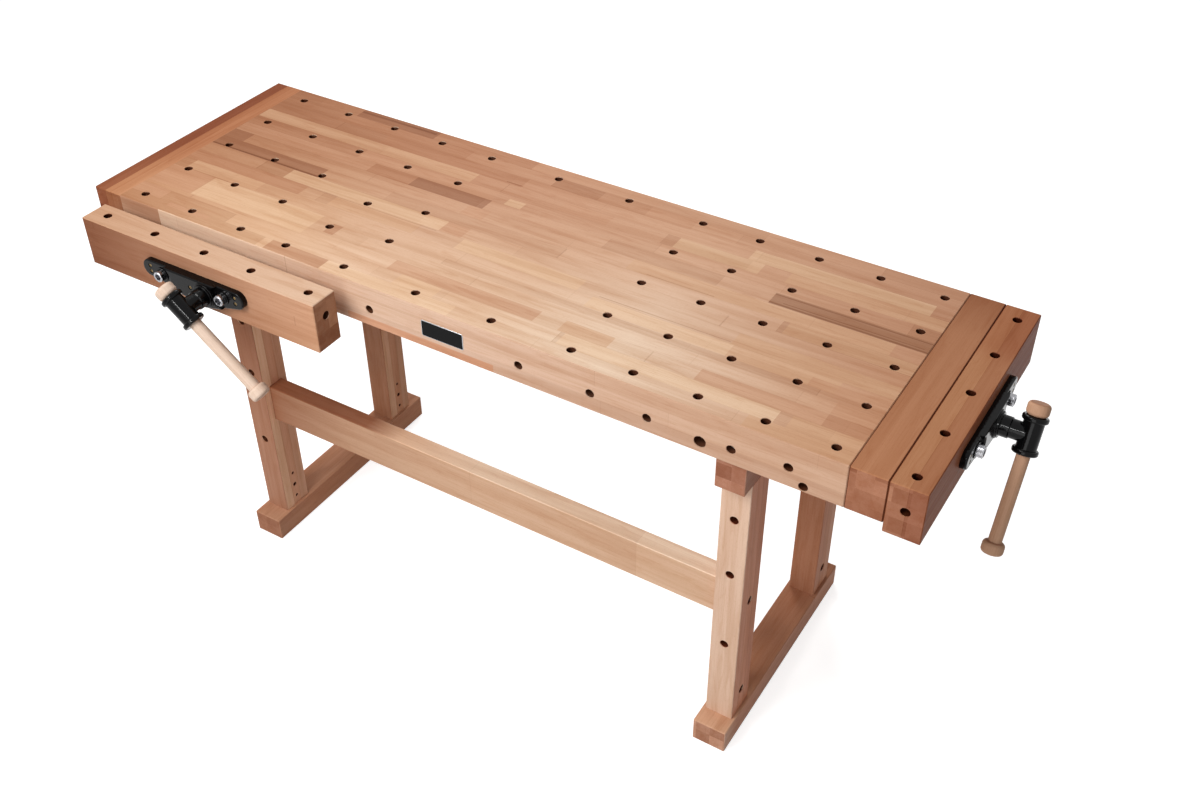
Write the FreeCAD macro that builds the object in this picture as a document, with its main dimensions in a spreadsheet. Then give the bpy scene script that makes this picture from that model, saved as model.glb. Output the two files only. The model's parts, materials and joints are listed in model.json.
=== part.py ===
import FreeCAD, Part
import math
import os
import re
import Sketcher

# A joiner's workbench: a thick top with two screw vises on a trestle base.
#
# Bench coordinates, used by every expression below: x runs from the left end of the top to the
# right, y from the front edge of the top to the back, z up from the floor. Each sub-part's
# Placement then moves it to the part's own origin, under the middle of the whole bench.
# A vise has coordinates of its own: its screw is the z axis, pointing out of the jaw, z = 0 is
# the jaw's outer face, x points right for someone who faces the vise, and y points up.

doc = FreeCAD.newDocument("workbench")
sizes = doc.addObject("Spreadsheet::Sheet", "Sizes")
Vector = FreeCAD.Vector
Rotation = FreeCAD.Rotation

SIZES = {
    # worktop
    "bench_height": 900,
    "top_length": 1873,
    "top_depth": 600,
    "apron_height": 96,
    "apron_width": 72,
    "panel_thickness": 36,
    "left_cap_width": 77,
    "right_cap_width": 72,
    "edge_ease": 1.5,
    # round dog holes: five rows, and columns in three pitches
    "dog_radius": 9.5,
    "row_first": 34,
    "row_last": 42,
    "column_first": 121,
    "column_last": 110,
    "left_pitch": 140,
    "right_pitch": 134,
    # dog holes that stand off the grid, near the front vise, some of them forward of their row
    "moved_front_x": 526,
    "moved_second_left_x": 556,
    "moved_second_left_forward": 27,
    "moved_second_right_x": 700,
    "moved_second_right_forward": 7,
    "moved_third_left_x": 565,
    "moved_third_left_forward": 42,
    "moved_third_right_x": 696,
    "moved_third_right_forward": 8,
    # peg holes in the front edge: the first stands beside the front vise, the rest are set in
    # from the right end; each has its drop below the worktop
    "peg_one_x": 767,
    "peg_one_drop": 55,
    "peg_two_inset": 745,
    "peg_two_drop": 54,
    "peg_three_inset": 585,
    "peg_three_drop": 56,
    "peg_four_inset": 463,
    "peg_four_drop": 63,
    "peg_wide_inset": 353,
    "peg_wide_drop": 71,
    "peg_wide_radius": 12.5,
    "peg_six_inset": 180,
    "peg_six_drop": 53,
    "peg_seven_inset": 149,
    "peg_seven_drop": 84,
    "peg_depth": 46,
    # trestle base
    "left_trestle_inset": 335,
    "right_trestle_inset": 291,
    "leg_width": 62,
    "leg_depth": 77,
    "leg_front_setback": 40,
    "leg_back_setback": 64,
    "foot_width": 76,
    "foot_overhang": 42.5,
    "foot_height": 60,
    "bearer_overhang": 33.5,
    "bearer_height": 72,
    "tenon_length": 25,
    "tenon_shoulder": 11,
    "joint_clearance": 0.2,
    "stretcher_height": 98,
    "stretcher_thickness": 42,
    "stretcher_top": 444,
    "lower_bolt_height": 121,
    "dowel_offset": 36.5,
    "dowel_radius": 4,
    "dowel_depth": 24,
    "leg_peg_low": 283,
    "leg_peg_middle": 485,
    "leg_peg_high": 632,
    # bolts and barrel nuts of the frame
    "bolt_radius": 5,
    "bolt_clearance": 0.5,
    "bolt_head_radius": 9,
    "bolt_head_height": 7,
    "counterbore_radius": 10,
    "counterbore_depth": 12,
    "barrel_nut_radius": 8,
    "barrel_nut_length": 18,
    "nut_inset": 42,
    "cap_bolt_front_y": 58,
    "cap_bolt_back": 18,
    "cap_bolt_drop": 68,
    "bearer_nut_drop": 62,
    # vise jaws
    "jaw_height": 115,
    "front_jaw_length": 643,
    "front_jaw_thickness": 66,
    "front_gap": 42,
    "end_jaw_thickness": 69,
    "end_gap": 0.5,
    "jaw_hole_four_x": 530,
    "end_jaw_hole_depth": 34,
    "jaw_end_hole_depth": 25,
    "jaw_end_hole_drop": 41,
    "end_jaw_front_hole_drop": 54,
    # vise ironwork
    "vise_axis_drop": 63.5,
    "end_vise_offset": 4,
    "front_screw_offset": 37.4,
    "end_screw_offset": 13.5,
    "opening_width": 180,
    "rod_spread": 169,
    "rod_rise": 6.5,
    "rod_radius": 10,
    "rod_tail": 14,
    "screw_radius": 12,
    "running_clearance": 0.05,
    "wood_clearance": 1.5,
    "plate_length": 280,
    "plate_end_radius": 20,
    "plate_end_lift": 10,
    "plate_hub_radius": 31,
    "plate_thickness": 20,
    "plate_end_thickness": 13,
    "plate_recess_radius": 27,
    "plate_round": 3,
    "boss_radius": 28,
    "boss_height": 23,
    "ring_radius": 25.5,
    "ring_height": 26.5,
    "ring_round": 1.5,
    "rod_boss_radius": 16,
    "rod_boss_height": 15,
    "rod_screw_seat": 12.5,
    "rod_screw_head_radius": 12,
    "rod_screw_head_height": 15,
    "rod_screw_radius": 6,
    "rod_screw_length": 38,
    "rod_screw_socket_radius": 8,
    "rod_screw_socket_depth": 9,
    "wood_screw_radius": 2.5,
    "wood_screw_head_radius": 4.5,
    "wood_screw_head_height": 3,
    "wood_screw_length": 32,
    "wood_screw_inset": 22,
    "wood_screw_rise": 7,
    "collar_radius": 18,
    "collar_length": 8,
    "collar_room": 2,
    "axial_play": 0.3,
    "housing_flange": 10,
    "housing_end_radius": 18,
    "housing_screw_rise": 9,
    "housing_screw_spread": 224,
    "housing_screw_radius": 4,
    "housing_screw_length": 40,
    "housing_screw_head_radius": 6.5,
    "housing_screw_head_height": 5.5,
    "guide_boss_radius": 15,
    "guide_boss_length": 28,
    "bush_wall": 3,
    "nut_boss_radius": 20,
    "nut_boss_length": 38,
    "nut_wall": 4,
    # screw head and handle
    "head_reach": 79.5,
    "head_neck_radius": 20.5,
    "head_stem_radius": 18.5,
    "head_neck_length": 16,
    "head_socket_depth": 30,
    "barrel_radius": 19.5,
    "barrel_length": 73.5,
    "flange_radius": 24.5,
    "flange_thickness": 10.5,
    "flange_round": 3.5,
    "handle_radius": 13,
    "handle_clearance": 0.5,
    "handle_length": 297.5,
    "knob_radius": 21.2,
    "knob_length": 24.5,
    "knob_crown": 7,
    "knob_foot": 8,
    "knob_tenon_radius": 8,
    "knob_tenon_length": 18,
    "front_handle_angle": -38.5,
    "end_handle_angle": -115,
}

for number, (name, amount) in enumerate(SIZES.items(), start=1):
    sizes.set(f"A{number}", name)
    sizes.set(f"B{number}", str(amount))
    sizes.setAlias(f"B{number}", name)
doc.recompute()

# places that several sub-parts share
ROW_PITCH = "((top_depth - row_first - row_last) / 4)"
MIDDLE_PITCH = "((top_length - column_first - column_last - 4 * left_pitch - 4 * right_pitch) / 3)"
UNDERSIDE_Z = "(bench_height - apron_height)"
PANEL_LENGTH = "(top_length - left_cap_width - right_cap_width)"
CAP_SEAM_X = "(top_length - right_cap_width)"
BACK_APRON_Y = "(top_depth - apron_width)"
TRESTLE_X = {"left": "left_trestle_inset", "right": "(top_length - right_trestle_inset)"}
LEG_FRONT_Y = "leg_front_setback"
LEG_BACK_Y = "(top_depth - leg_back_setback - leg_depth)"
LEG_SPAN = "(top_depth - leg_front_setback - leg_back_setback)"
LEG_LENGTH = "(bench_height - apron_height - bearer_height - foot_height)"
BEARER_Y = "(leg_front_setback - bearer_overhang)"
BEARER_Z = "(bench_height - apron_height - bearer_height)"
BEARER_LENGTH = f"({LEG_SPAN} + 2 * bearer_overhang)"
BEARER_BOLT_Y = "(leg_front_setback - bearer_overhang / 2)"
BEARER_BOLT_BACK_Y = "(top_depth - leg_back_setback + bearer_overhang / 2)"
STRETCHER_MIDDLE_Z = "(stretcher_top - stretcher_height / 2)"
STRETCHER_X = "(left_trestle_inset + leg_width / 2)"
STRETCHER_LENGTH = "(top_length - left_trestle_inset - right_trestle_inset - leg_width)"
FRONT_VISE_X = "(left_cap_width + front_jaw_length / 2)"
END_VISE_Y = "(top_depth / 2 + end_vise_offset)"
JAW_Z = "(bench_height - jaw_height)"
VISE_Z = "(bench_height - vise_axis_drop)"
HOLE_RADIUS = "(bolt_radius + bolt_clearance)"
HOUSING_DEPTH = "(housing_flange + guide_boss_length)"
KNOB_FACE = "(handle_length / 2 - knob_length)"

# the bench's own origin: the middle of its rest outline on the floor
ORIGIN_X = "(top_length + end_gap + end_jaw_thickness + head_reach + flange_radius) / 2"
ORIGIN_Y = "(top_depth - front_gap - front_jaw_thickness - head_reach - flange_radius) / 2"

TURNS = {
    "+z": Rotation(),
    "-z": Rotation(Vector(1, 0, 0), 180),
    "+x": Rotation(Vector(0, 1, 0), 90),
    "-x": Rotation(Vector(0, 1, 0), -90),
    "+y": Rotation(Vector(1, 0, 0), -90),
    "-y": Rotation(Vector(1, 0, 0), 90),
}
FACING_FRONT = Rotation(Vector(1, 0, 0), 90)
FACING_RIGHT = Rotation(Vector(1, 1, 1), 120)

nodes = []


def value(text):
    """The number an expression of sizes comes to."""
    return float(sizes.evalExpression(text))


def bound(text):
    """The same expression as other objects have to write it."""
    return re.sub(r"[a-z_]+", lambda word: "Sizes." + word[0] if word[0] in SIZES else word[0], text)


def bind(thing, **properties):
    for name, text in properties.items():
        thing.setExpression(name, bound(text))
    return thing


def place(thing, at, turn=Rotation()):
    thing.Placement = FreeCAD.Placement(Vector(), turn)
    for axis, text in zip("xyz", at):
        thing.setExpression(f"Placement.Base.{axis}", bound(text))
    return thing


def node(thing, label, at=("0", "0", "0"), turn=Rotation()):
    """Make a finished object a sub-part: its label, and its place from the bench's origin."""
    thing.Label = label
    place(thing, (f"{at[0]} - {ORIGIN_X}", f"{at[1]} - {ORIGIN_Y}", at[2]), turn)
    nodes.append(thing)
    return thing


# --- Part primitives -------------------------------------------------------------------------


def cylinder(radius, length, at=("0", "0", "0"), along="+z"):
    rod = doc.addObject("Part::Cylinder", "Rod")
    bind(rod, Radius=radius, Height=length)
    return place(rod, at, TURNS[along])


def cone(radius, end_radius, length, at, along="+z"):
    taper = doc.addObject("Part::Cone", "Taper")
    bind(taper, Radius1=radius, Radius2=end_radius, Height=length)
    return place(taper, at, TURNS[along])


def hexagon(radius, length, at, along="+z"):
    prism = doc.addObject("Part::Prism", "Hexagon")
    prism.Polygon = 6
    bind(prism, Circumradius=radius, Height=length)
    return place(prism, at, TURNS[along])


def fused(*things):
    joined = doc.addObject("Part::MultiFuse", "Joined")
    joined.Shapes = list(things)
    return joined


def cut(base, tool):
    left = doc.addObject("Part::Cut", "Cut")
    left.Base = base
    left.Tool = tool
    return left


def tube(radius, bore, length, at=("0", "0", "0"), along="+z"):
    return cut(cylinder(radius, length, at, along), cylinder(bore, length, at, along))


def group(label, things, at=("0", "0", "0"), turn=Rotation()):
    """Identical pieces kept as separate solids of one sub-part."""
    together = doc.addObject("Part::Compound", "Group")
    together.Links = list(things)
    return node(together, label, at, turn)


def step(at, along, distance):
    """A place moved by a distance along one of the six directions."""
    moved = list(at)
    axis = "xyz".index(along[1])
    moved[axis] = f"({moved[axis]} {along[0]} ({distance}))"
    return tuple(moved)


def hex_bolt(at, along, length):
    """A bolt whose head seats at a place, with its shank running along a direction."""
    back = {"+": "-", "-": "+"}[along[0]] + along[1]
    head = hexagon("bolt_head_radius", "bolt_head_height", at, back)
    return fused(head, cylinder("bolt_radius", length, at, along))


def barrel_nut(at, along, across):
    """A cross dowel centred on a place, lying along one direction and bored across it."""
    start = step(at, "-" + along[1], "barrel_nut_length / 2")
    bore_start = step(at, "-" + across[1], "barrel_nut_radius * 1.5")
    body = cylinder("barrel_nut_radius", "barrel_nut_length", start, along)
    return cut(body, cylinder("bolt_radius", "barrel_nut_radius * 3", bore_start, across))


# --- PartDesign bodies -----------------------------------------------------------------------


def new_body(name):
    return doc.addObject("PartDesign::Body", name)


def sketch_on(body, plane, offset="0", name="Profile"):
    sketch = body.newObject("Sketcher::SketchObject", name)
    origin_plane = [item for item in body.Origin.OriginFeatures if item.Role == plane][0]
    sketch.AttachmentSupport = [(origin_plane, "")]
    sketch.MapMode = "FlatFace"
    if offset != "0":
        sketch.setExpression("AttachmentOffset.Base.z", bound(offset))
    doc.recompute()
    return sketch


def dimension(sketch, kind, text, *picks):
    """A dimension of a sketch, bound to an expression."""
    number = sketch.addConstraint(Sketcher.Constraint(kind, *picks, value(text)))
    sketch.setExpression(f"Constraints[{number}]", bound(text))


def pin_point(sketch, geometry, point, across, up):
    """Hold a sketch point at a place measured from the sketch's origin."""
    if across == "0" and up == "0":
        sketch.addConstraint(Sketcher.Constraint("Coincident", geometry, point, -1, 1))
        return
    for kind, text, axis in (("DistanceX", across, -2), ("DistanceY", up, -1)):
        if text == "0":
            sketch.addConstraint(Sketcher.Constraint("PointOnObject", geometry, point, axis))
        else:
            dimension(sketch, kind, text, -1, 1, geometry, point)


def polygon(sketch, corners, first=0):
    """A closed outline of straight lines through corners given as pairs of expressions.

    The first side's number in the sketch is 0, or more where the sketch has other outlines.
    """
    points = [Vector(value(across), value(up), 0) for across, up in corners]
    for start, end in zip(points, points[1:] + points[:1]):
        sketch.addGeometry(Part.LineSegment(start, end), False)
    sides = list(range(first, first + len(corners)))
    for side, following in zip(sides, sides[1:] + sides[:1]):
        sketch.addConstraint(Sketcher.Constraint("Coincident", side, 2, following, 1))
    for side, (across, up) in zip(sides, corners):
        pin_point(sketch, side, 1, across, up)


def rectangle(sketch, across, up, width, height):
    right = f"({across} + {width})"
    upper = f"({up} + {height})"
    polygon(sketch, [(across, up), (right, up), (right, upper), (across, upper)])


def circles(sketch, centres, radius):
    for number, (across, up) in enumerate(centres):
        middle = Vector(value(across), value(up), 0)
        sketch.addGeometry(Part.Circle(middle, Vector(0, 0, 1), value(radius)), False)
        dimension(sketch, "Radius", radius, number)
        pin_point(sketch, number, 3, across, up)


def add_feature(body, kind, sketch, through=False, backwards=False, **properties):
    """A Pad or Pocket, checked to have changed the body's volume the right way."""
    before = body.Shape.Volume if body.Tip else 0.0
    feature = body.newObject(f"PartDesign::{kind}", kind)
    feature.Profile = sketch
    feature.Reversed = backwards
    if through:
        feature.Type = "ThroughAll"
        feature.Midplane = True
    bind(feature, **properties)
    body.Tip = feature
    doc.recompute()
    change = body.Shape.Volume - before
    if (change <= 0) == (kind == "Pad"):
        raise RuntimeError(f"{body.Label}: {feature.Name} points away from the solid")
    return feature


def ease_edges(body, kind, edges, **properties):
    last = body.Tip
    feature = body.newObject(f"PartDesign::{kind}", kind)
    feature.Base = (last, [f"Edge{number}" for number in edges])
    bind(feature, **properties)
    body.Tip = feature
    doc.recompute()
    return feature


def edges_where(body, wanted):
    return [number for number, edge in enumerate(body.Shape.Edges, start=1) if wanted(edge)]


def is_round(edge, radius):
    curve = edge.Curve
    return isinstance(curve, Part.Circle) and abs(curve.Radius - value(radius)) < 1e-6


def on_side(edge, box, side):
    """Whether an edge lies in one of the six faces of a box, named such as -x or +z."""
    low = {"x": box.XMin, "y": box.YMin, "z": box.ZMin}[side[1]]
    high = {"x": box.XMax, "y": box.YMax, "z": box.ZMax}[side[1]]
    wall = low if side[0] == "-" else high
    return all(abs(getattr(point.Point, side[1]) - wall) < 1e-6 for point in edge.Vertexes)


def board(name, length, depth, height, glued=()):
    """A planed board in its own corner coordinates, with every edge eased but the glued faces'."""
    body = new_body(name)
    sketch = sketch_on(body, "XY_Plane")
    rectangle(sketch, "0", "0", length, depth)
    add_feature(body, "Pad", sketch, Length=height)
    box = body.Shape.BoundBox
    free = edges_where(body, lambda edge: not any(on_side(edge, box, side) for side in glued))
    ease_edges(body, "Chamfer", free, Size="edge_ease")
    return body


def drill(body, face, centres, radius, depth=None, wall="0"):
    """Round holes into a board from one face, or right through it where no depth is given.

    The centres are places on the face: x and z on the front and back, y and z on the left and
    right, x and y on the top and bottom. The wall is how far the face is from the corner.
    """
    planes = {"front": "XZ_Plane", "back": "XZ_Plane"}
    planes.update({"left": "YZ_Plane", "right": "YZ_Plane", "end": "YZ_Plane"})
    plane = planes.get(face, "XY_Plane")
    offset = f"-{wall}" if face == "back" and wall != "0" else wall
    sketch = sketch_on(body, plane, offset, "Holes")
    circles(sketch, centres, radius)
    if depth is None:
        return add_feature(body, "Pocket", sketch, through=True)
    backwards = face in ("back", "left", "bottom")
    return add_feature(body, "Pocket", sketch, backwards=backwards, Length=depth)


def turned(name, corners):
    """A body turned about its own z axis from a closed outline of radius and height."""
    body = new_body(name)
    sketch = sketch_on(body, "XZ_Plane")
    polygon(sketch, corners)
    feature = body.newObject("PartDesign::Revolution", "Turning")
    feature.Profile = sketch
    feature.ReferenceAxis = (sketch, ["V_Axis"])
    feature.Angle = 360
    body.Tip = feature
    doc.recompute()
    return body


def tangent_side(start, start_radius, end, end_radius):
    """Angle of the outward normal of the lower line that touches two circles, left to right."""
    run = end - start
    lean = math.acos((start_radius - end_radius) / run.Length)
    return math.atan2(run.y, run.x) - lean


def casting_outline(sketch, left, right, lift, end_radius, hub_radius):
    """Two end rounds with a straight line across their tops, and tangents down to a hub round."""
    left_middle = Vector(value(left), value(lift), 0)
    right_middle = Vector(value(right), value(lift), 0)
    ends, hub = value(end_radius), value(hub_radius)
    down_left = tangent_side(left_middle, ends, Vector(), hub)
    down_right = tangent_side(Vector(), hub, right_middle, ends)

    def rim(middle, radius, angle):
        return middle + Vector(math.cos(angle), math.sin(angle), 0) * radius

    def arc(middle, radius, start, end):
        return Part.ArcOfCircle(Part.Circle(middle, Vector(0, 0, 1), radius), start, end)

    up = math.pi / 2
    outline = [
        arc(right_middle, ends, down_right, up),
        Part.LineSegment(rim(right_middle, ends, up), rim(left_middle, ends, up)),
        arc(left_middle, ends, up, down_left + 2 * math.pi),
        Part.LineSegment(rim(left_middle, ends, down_left), rim(Vector(), hub, down_left)),
        arc(Vector(), hub, down_left, down_right),
        Part.LineSegment(rim(Vector(), hub, down_right), rim(right_middle, ends, down_right)),
    ]
    for piece in outline:
        sketch.addGeometry(piece, False)
    for piece in range(len(outline)):
        following = (piece + 1) % len(outline)
        sketch.addConstraint(Sketcher.Constraint("Tangent", piece, 2, following, 1))
    pin_point(sketch, 0, 3, right, lift)
    pin_point(sketch, 2, 3, left, lift)
    pin_point(sketch, 4, 3, "0", "0")
    dimension(sketch, "Radius", end_radius, 0)
    dimension(sketch, "Radius", end_radius, 2)
    dimension(sketch, "Radius", hub_radius, 4)


# --- the two vises ---------------------------------------------------------------------------

FRONT_VISE = {
    "name": "front",
    "at": (f"{FRONT_VISE_X} + front_screw_offset", "-(front_gap + front_jaw_thickness)", VISE_Z),
    "turn": FACING_FRONT,
    "jaw": "front_jaw_thickness",
    "wall": "apron_width",
    "wall_face": (f"{FRONT_VISE_X} + front_screw_offset", "apron_width", VISE_Z),
    "across": "(front_jaw_length / 2 + front_screw_offset)",
    "offset": "front_screw_offset",
    "middle_screws": [("(-front_screw_offset)", "rod_rise")],
    "angle": "front_handle_angle",
}
END_VISE = {
    "name": "end",
    "at": ("top_length + end_gap + end_jaw_thickness", f"{END_VISE_Y} + end_screw_offset", VISE_Z),
    "turn": FACING_RIGHT,
    "jaw": "end_jaw_thickness",
    "wall": "right_cap_width",
    "wall_face": (CAP_SEAM_X, f"{END_VISE_Y} + end_screw_offset", VISE_Z),
    "across": f"({END_VISE_Y} + end_screw_offset)",
    "offset": "end_screw_offset",
    "middle_screws": [],
    "angle": "end_handle_angle",
}
SCREW = [("0", "0")]


def rod_places(vise):
    return [(f"(-{vise['offset']} {sign} rod_spread / 2)", "rod_rise") for sign in "-+"]


def plate_end_screws(vise):
    """Two wood screws near each end of a front plate."""
    places = []
    for sign in "-+":
        across = f"(-{vise['offset']} {sign} (plate_length / 2 - wood_screw_inset))"
        places += [(across, f"(plate_end_lift {up} wood_screw_rise)") for up in "-+"]
    return places


def housing_screws(vise):
    """Two screws at each end of a rear housing."""
    places = []
    for sign in "-+":
        across = f"(-{vise['offset']} {sign} housing_screw_spread / 2)"
        places += [(across, f"(rod_rise {up} housing_screw_rise)") for up in "-+"]
    return places


def on_board(vise, places, height):
    """Places given from a vise's screw, as places on the face of a board at some height."""
    return [(f"({vise['across']} + {x})", f"({VISE_Z} - {height} + {y})") for x, y in places]


def drill_for_vise(body, vise, height, rod_room):
    """Through holes for the guide rods and the screw."""
    drill(body, vise["name"], on_board(vise, rod_places(vise), height), f"rod_radius + {rod_room}")
    drill(body, vise["name"], on_board(vise, SCREW, height), "screw_radius + wood_clearance")


def drill_jaw_face(body, vise, wall):
    """The room for the screw's collar and the pilot holes of the plate's wood screws."""
    face = {"front": "front", "end": "right"}[vise["name"]]
    room = "collar_radius + collar_room"
    screw = on_board(vise, SCREW, JAW_Z)
    drill(body, face, screw, room, "collar_length + collar_room", wall)
    for screws, height in (
        (plate_end_screws(vise), "plate_end_thickness"),
        (vise["middle_screws"], "plate_thickness"),
    ):
        if screws:
            places = on_board(vise, screws, JAW_Z)
            depth = f"wood_screw_length - {wood_screw_seat(height)}"
            drill(body, face, places, "wood_screw_radius", depth, wall)


def drill_housing_face(body, vise, wall):
    """Pilot holes for a rear housing's screws."""
    face = {"front": "back", "end": "left"}[vise["name"]]
    places = on_board(vise, housing_screws(vise), UNDERSIDE_Z)
    drill(body, face, places, "housing_screw_radius", "housing_screw_length - housing_flange", wall)


# --- worktop ---------------------------------------------------------------------------------


def column_places():
    """Twelve columns of dog holes: five close, two wide, five close."""
    places = [f"(column_first + {number} * left_pitch)" for number in range(5)]
    for number in (1, 2):
        places.append(f"(column_first + 4 * left_pitch + {number} * {MIDDLE_PITCH})")
    for number in (4, 3, 2, 1, 0):
        places.append(f"(top_length - column_last - {number} * right_pitch)")
    return places


def row_place(number):
    return f"(row_first + {number} * {ROW_PITCH})"


def front_row_holes():
    places = column_places()
    places[3] = "moved_front_x"
    return [(along, row_place(0)) for along in places]


def panel_holes():
    """Three rows of ten: the two middle columns have no holes in the panel."""
    places = column_places()
    columns = places[:5] + places[7:]
    moved = {(1, 3): "second_left", (1, 4): "second_right", (2, 3): "third_left", (2, 4): "third_right"}
    holes = []
    for row in (1, 2, 3):
        for column, along in enumerate(columns):
            place_name = moved.get((row, column))
            if place_name:
                across = f"({row_place(row)} - moved_{place_name}_forward)"
                holes.append((f"moved_{place_name}_x", across))
            else:
                holes.append((along, row_place(row)))
    return holes


def back_row_holes():
    return [(along, row_place(4)) for along in column_places()]


def shifted(holes, along, across):
    """Hole places measured from a board's own corner."""
    return [(f"({x} - {along})", f"({y} - {across})") for x, y in holes]


def apron_joints(body, bolt_y, nut_edge, nut_depth, bearer_bolt_y):
    """Bolt and barrel-nut holes of a long apron: end caps at its ends, bearers under it."""
    rise = "(apron_height - cap_bolt_drop)"
    reach = "(nut_inset + barrel_nut_radius)"
    drill(body, "left", [(bolt_y, rise)], HOLE_RADIUS, reach)
    drill(body, "right", [(bolt_y, rise)], HOLE_RADIUS, reach, PANEL_LENGTH)
    nut_places = [("nut_inset", bolt_y), (f"({PANEL_LENGTH} - nut_inset)", bolt_y)]
    nut_top = f"({rise} + barrel_nut_length / 2)"
    drill(body, "bottom", nut_places, "barrel_nut_radius + joint_clearance", nut_top)
    trestles = [f"({x} - left_cap_width)" for x in TRESTLE_X.values()]
    bolt_top = "(apron_height - bearer_nut_drop + barrel_nut_radius)"
    drill(body, "bottom", [(x, bearer_bolt_y) for x in trestles], HOLE_RADIUS, bolt_top)
    nut_rise = "(apron_height - bearer_nut_drop)"
    wall = "apron_width" if nut_edge == "back" else "0"
    places = [(x, nut_rise) for x in trestles]
    drill(body, nut_edge, places, "dog_radius", nut_depth, wall)


def inset_peg(name):
    across = f"(top_length - left_cap_width - peg_{name}_inset)"
    return across, f"(apron_height - peg_{name}_drop)"


def front_apron():
    glued = ("-x", "+y")
    body = board("FrontApron", PANEL_LENGTH, "apron_width", "apron_height", glued)
    drill(body, "top", shifted(front_row_holes(), "left_cap_width", "0"), "dog_radius")
    pegs = [("(peg_one_x - left_cap_width)", "(apron_height - peg_one_drop)")]
    pegs += [inset_peg(name) for name in ("two", "three", "four", "six", "seven")]
    drill(body, "front", pegs, "dog_radius", "peg_depth")
    drill(body, "front", [inset_peg("wide")], "peg_wide_radius", "peg_depth")
    nut_depth = f"({BEARER_BOLT_Y} + barrel_nut_length / 2)"
    apron_joints(body, "cap_bolt_front_y", "front", nut_depth, BEARER_BOLT_Y)
    drill_for_vise(body, FRONT_VISE, UNDERSIDE_Z, "wood_clearance")
    drill_housing_face(body, FRONT_VISE, "apron_width")
    return node(body, "front_apron", ("left_cap_width", "0", UNDERSIDE_Z))


def rear_apron():
    glued = ("-x", "-y")
    body = board("RearApron", PANEL_LENGTH, "apron_width", "apron_height", glued)
    drill(body, "top", shifted(back_row_holes(), "left_cap_width", BACK_APRON_Y), "dog_radius")
    bolt_y = "(apron_width - cap_bolt_back)"
    bearer_y = f"({BEARER_BOLT_BACK_Y} - {BACK_APRON_Y})"
    nut_depth = f"(top_depth - {BEARER_BOLT_BACK_Y} + barrel_nut_length / 2)"
    apron_joints(body, bolt_y, "back", nut_depth, bearer_y)
    return node(body, "rear_apron", ("left_cap_width", BACK_APRON_Y, UNDERSIDE_Z))


def top_panel():
    glued = ("-x", "-y", "+y")
    depth = "(top_depth - 2 * apron_width)"
    body = board("TopPanel", PANEL_LENGTH, depth, "panel_thickness", glued)
    drill(body, "top", shifted(panel_holes(), "left_cap_width", "apron_width"), "dog_radius")
    return node(body, "top_panel", ("left_cap_width", "apron_width", "bench_height - panel_thickness"))


def cap_bolt_places():
    rise = "(apron_height - cap_bolt_drop)"
    return [("cap_bolt_front_y", rise), ("(top_depth - cap_bolt_back)", rise)]


def left_end_cap():
    body = board("LeftCap", "left_cap_width", "top_depth", "apron_height", ("+x",))
    drill(body, "left", cap_bolt_places(), HOLE_RADIUS)
    drill(body, "left", cap_bolt_places(), "counterbore_radius", "counterbore_depth")
    return node(body, "left_end_cap", ("0", "0", UNDERSIDE_Z))


def right_end_cap():
    body = board("RightCap", "right_cap_width", "top_depth", "apron_height")
    drill(body, "right", cap_bolt_places(), HOLE_RADIUS)
    wall = "right_cap_width"
    drill(body, "right", cap_bolt_places(), "counterbore_radius", "counterbore_depth", wall)
    drill_for_vise(body, END_VISE, UNDERSIDE_Z, "wood_clearance")
    drill_housing_face(body, END_VISE, "0")
    return node(body, "right_end_cap", (CAP_SEAM_X, "0", UNDERSIDE_Z))


def end_cap_fasteners():
    height = "(bench_height - cap_bolt_drop)"
    bolts, nuts = [], []
    for y in ("cap_bolt_front_y", "(top_depth - cap_bolt_back)"):
        left = ("counterbore_depth", y, height)
        length = "(left_cap_width - counterbore_depth + nut_inset + barrel_nut_radius)"
        bolts.append(hex_bolt(left, "+x", length))
        right = ("(top_length - counterbore_depth)", y, height)
        length = "(right_cap_width - counterbore_depth + nut_inset + barrel_nut_radius)"
        bolts.append(hex_bolt(right, "-x", length))
        for x in ("(left_cap_width + nut_inset)", f"({CAP_SEAM_X} - nut_inset)"):
            nuts.append(barrel_nut((x, y, height), "+z", "+x"))
    group("end_cap_bolts", bolts)
    group("end_cap_nuts", nuts)


# --- trestle base ----------------------------------------------------------------------------


def cross_rail(name, width, length, height, mortise_side):
    """A foot or bearer: a board that runs from front to back, with two mortises for the legs."""
    body = board(name, width, length, height)
    room_x = "(leg_width - 2 * tenon_shoulder + 2 * joint_clearance)"
    room_y = "(leg_depth - 2 * tenon_shoulder + 2 * joint_clearance)"
    across = f"(({width} - {room_x}) / 2)"
    near = f"(({length} - {LEG_SPAN}) / 2 + tenon_shoulder - joint_clearance)"
    far = f"(({length} + {LEG_SPAN}) / 2 - leg_depth + tenon_shoulder - joint_clearance)"
    for start in (near, far):
        offset = height if mortise_side == "top" else "0"
        sketch = sketch_on(body, "XY_Plane", offset, "Mortise")
        rectangle(sketch, across, start, room_x, room_y)
        depth = "tenon_length + joint_clearance"
        add_feature(body, "Pocket", sketch, backwards=mortise_side == "bottom", Length=depth)
    return body


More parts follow.
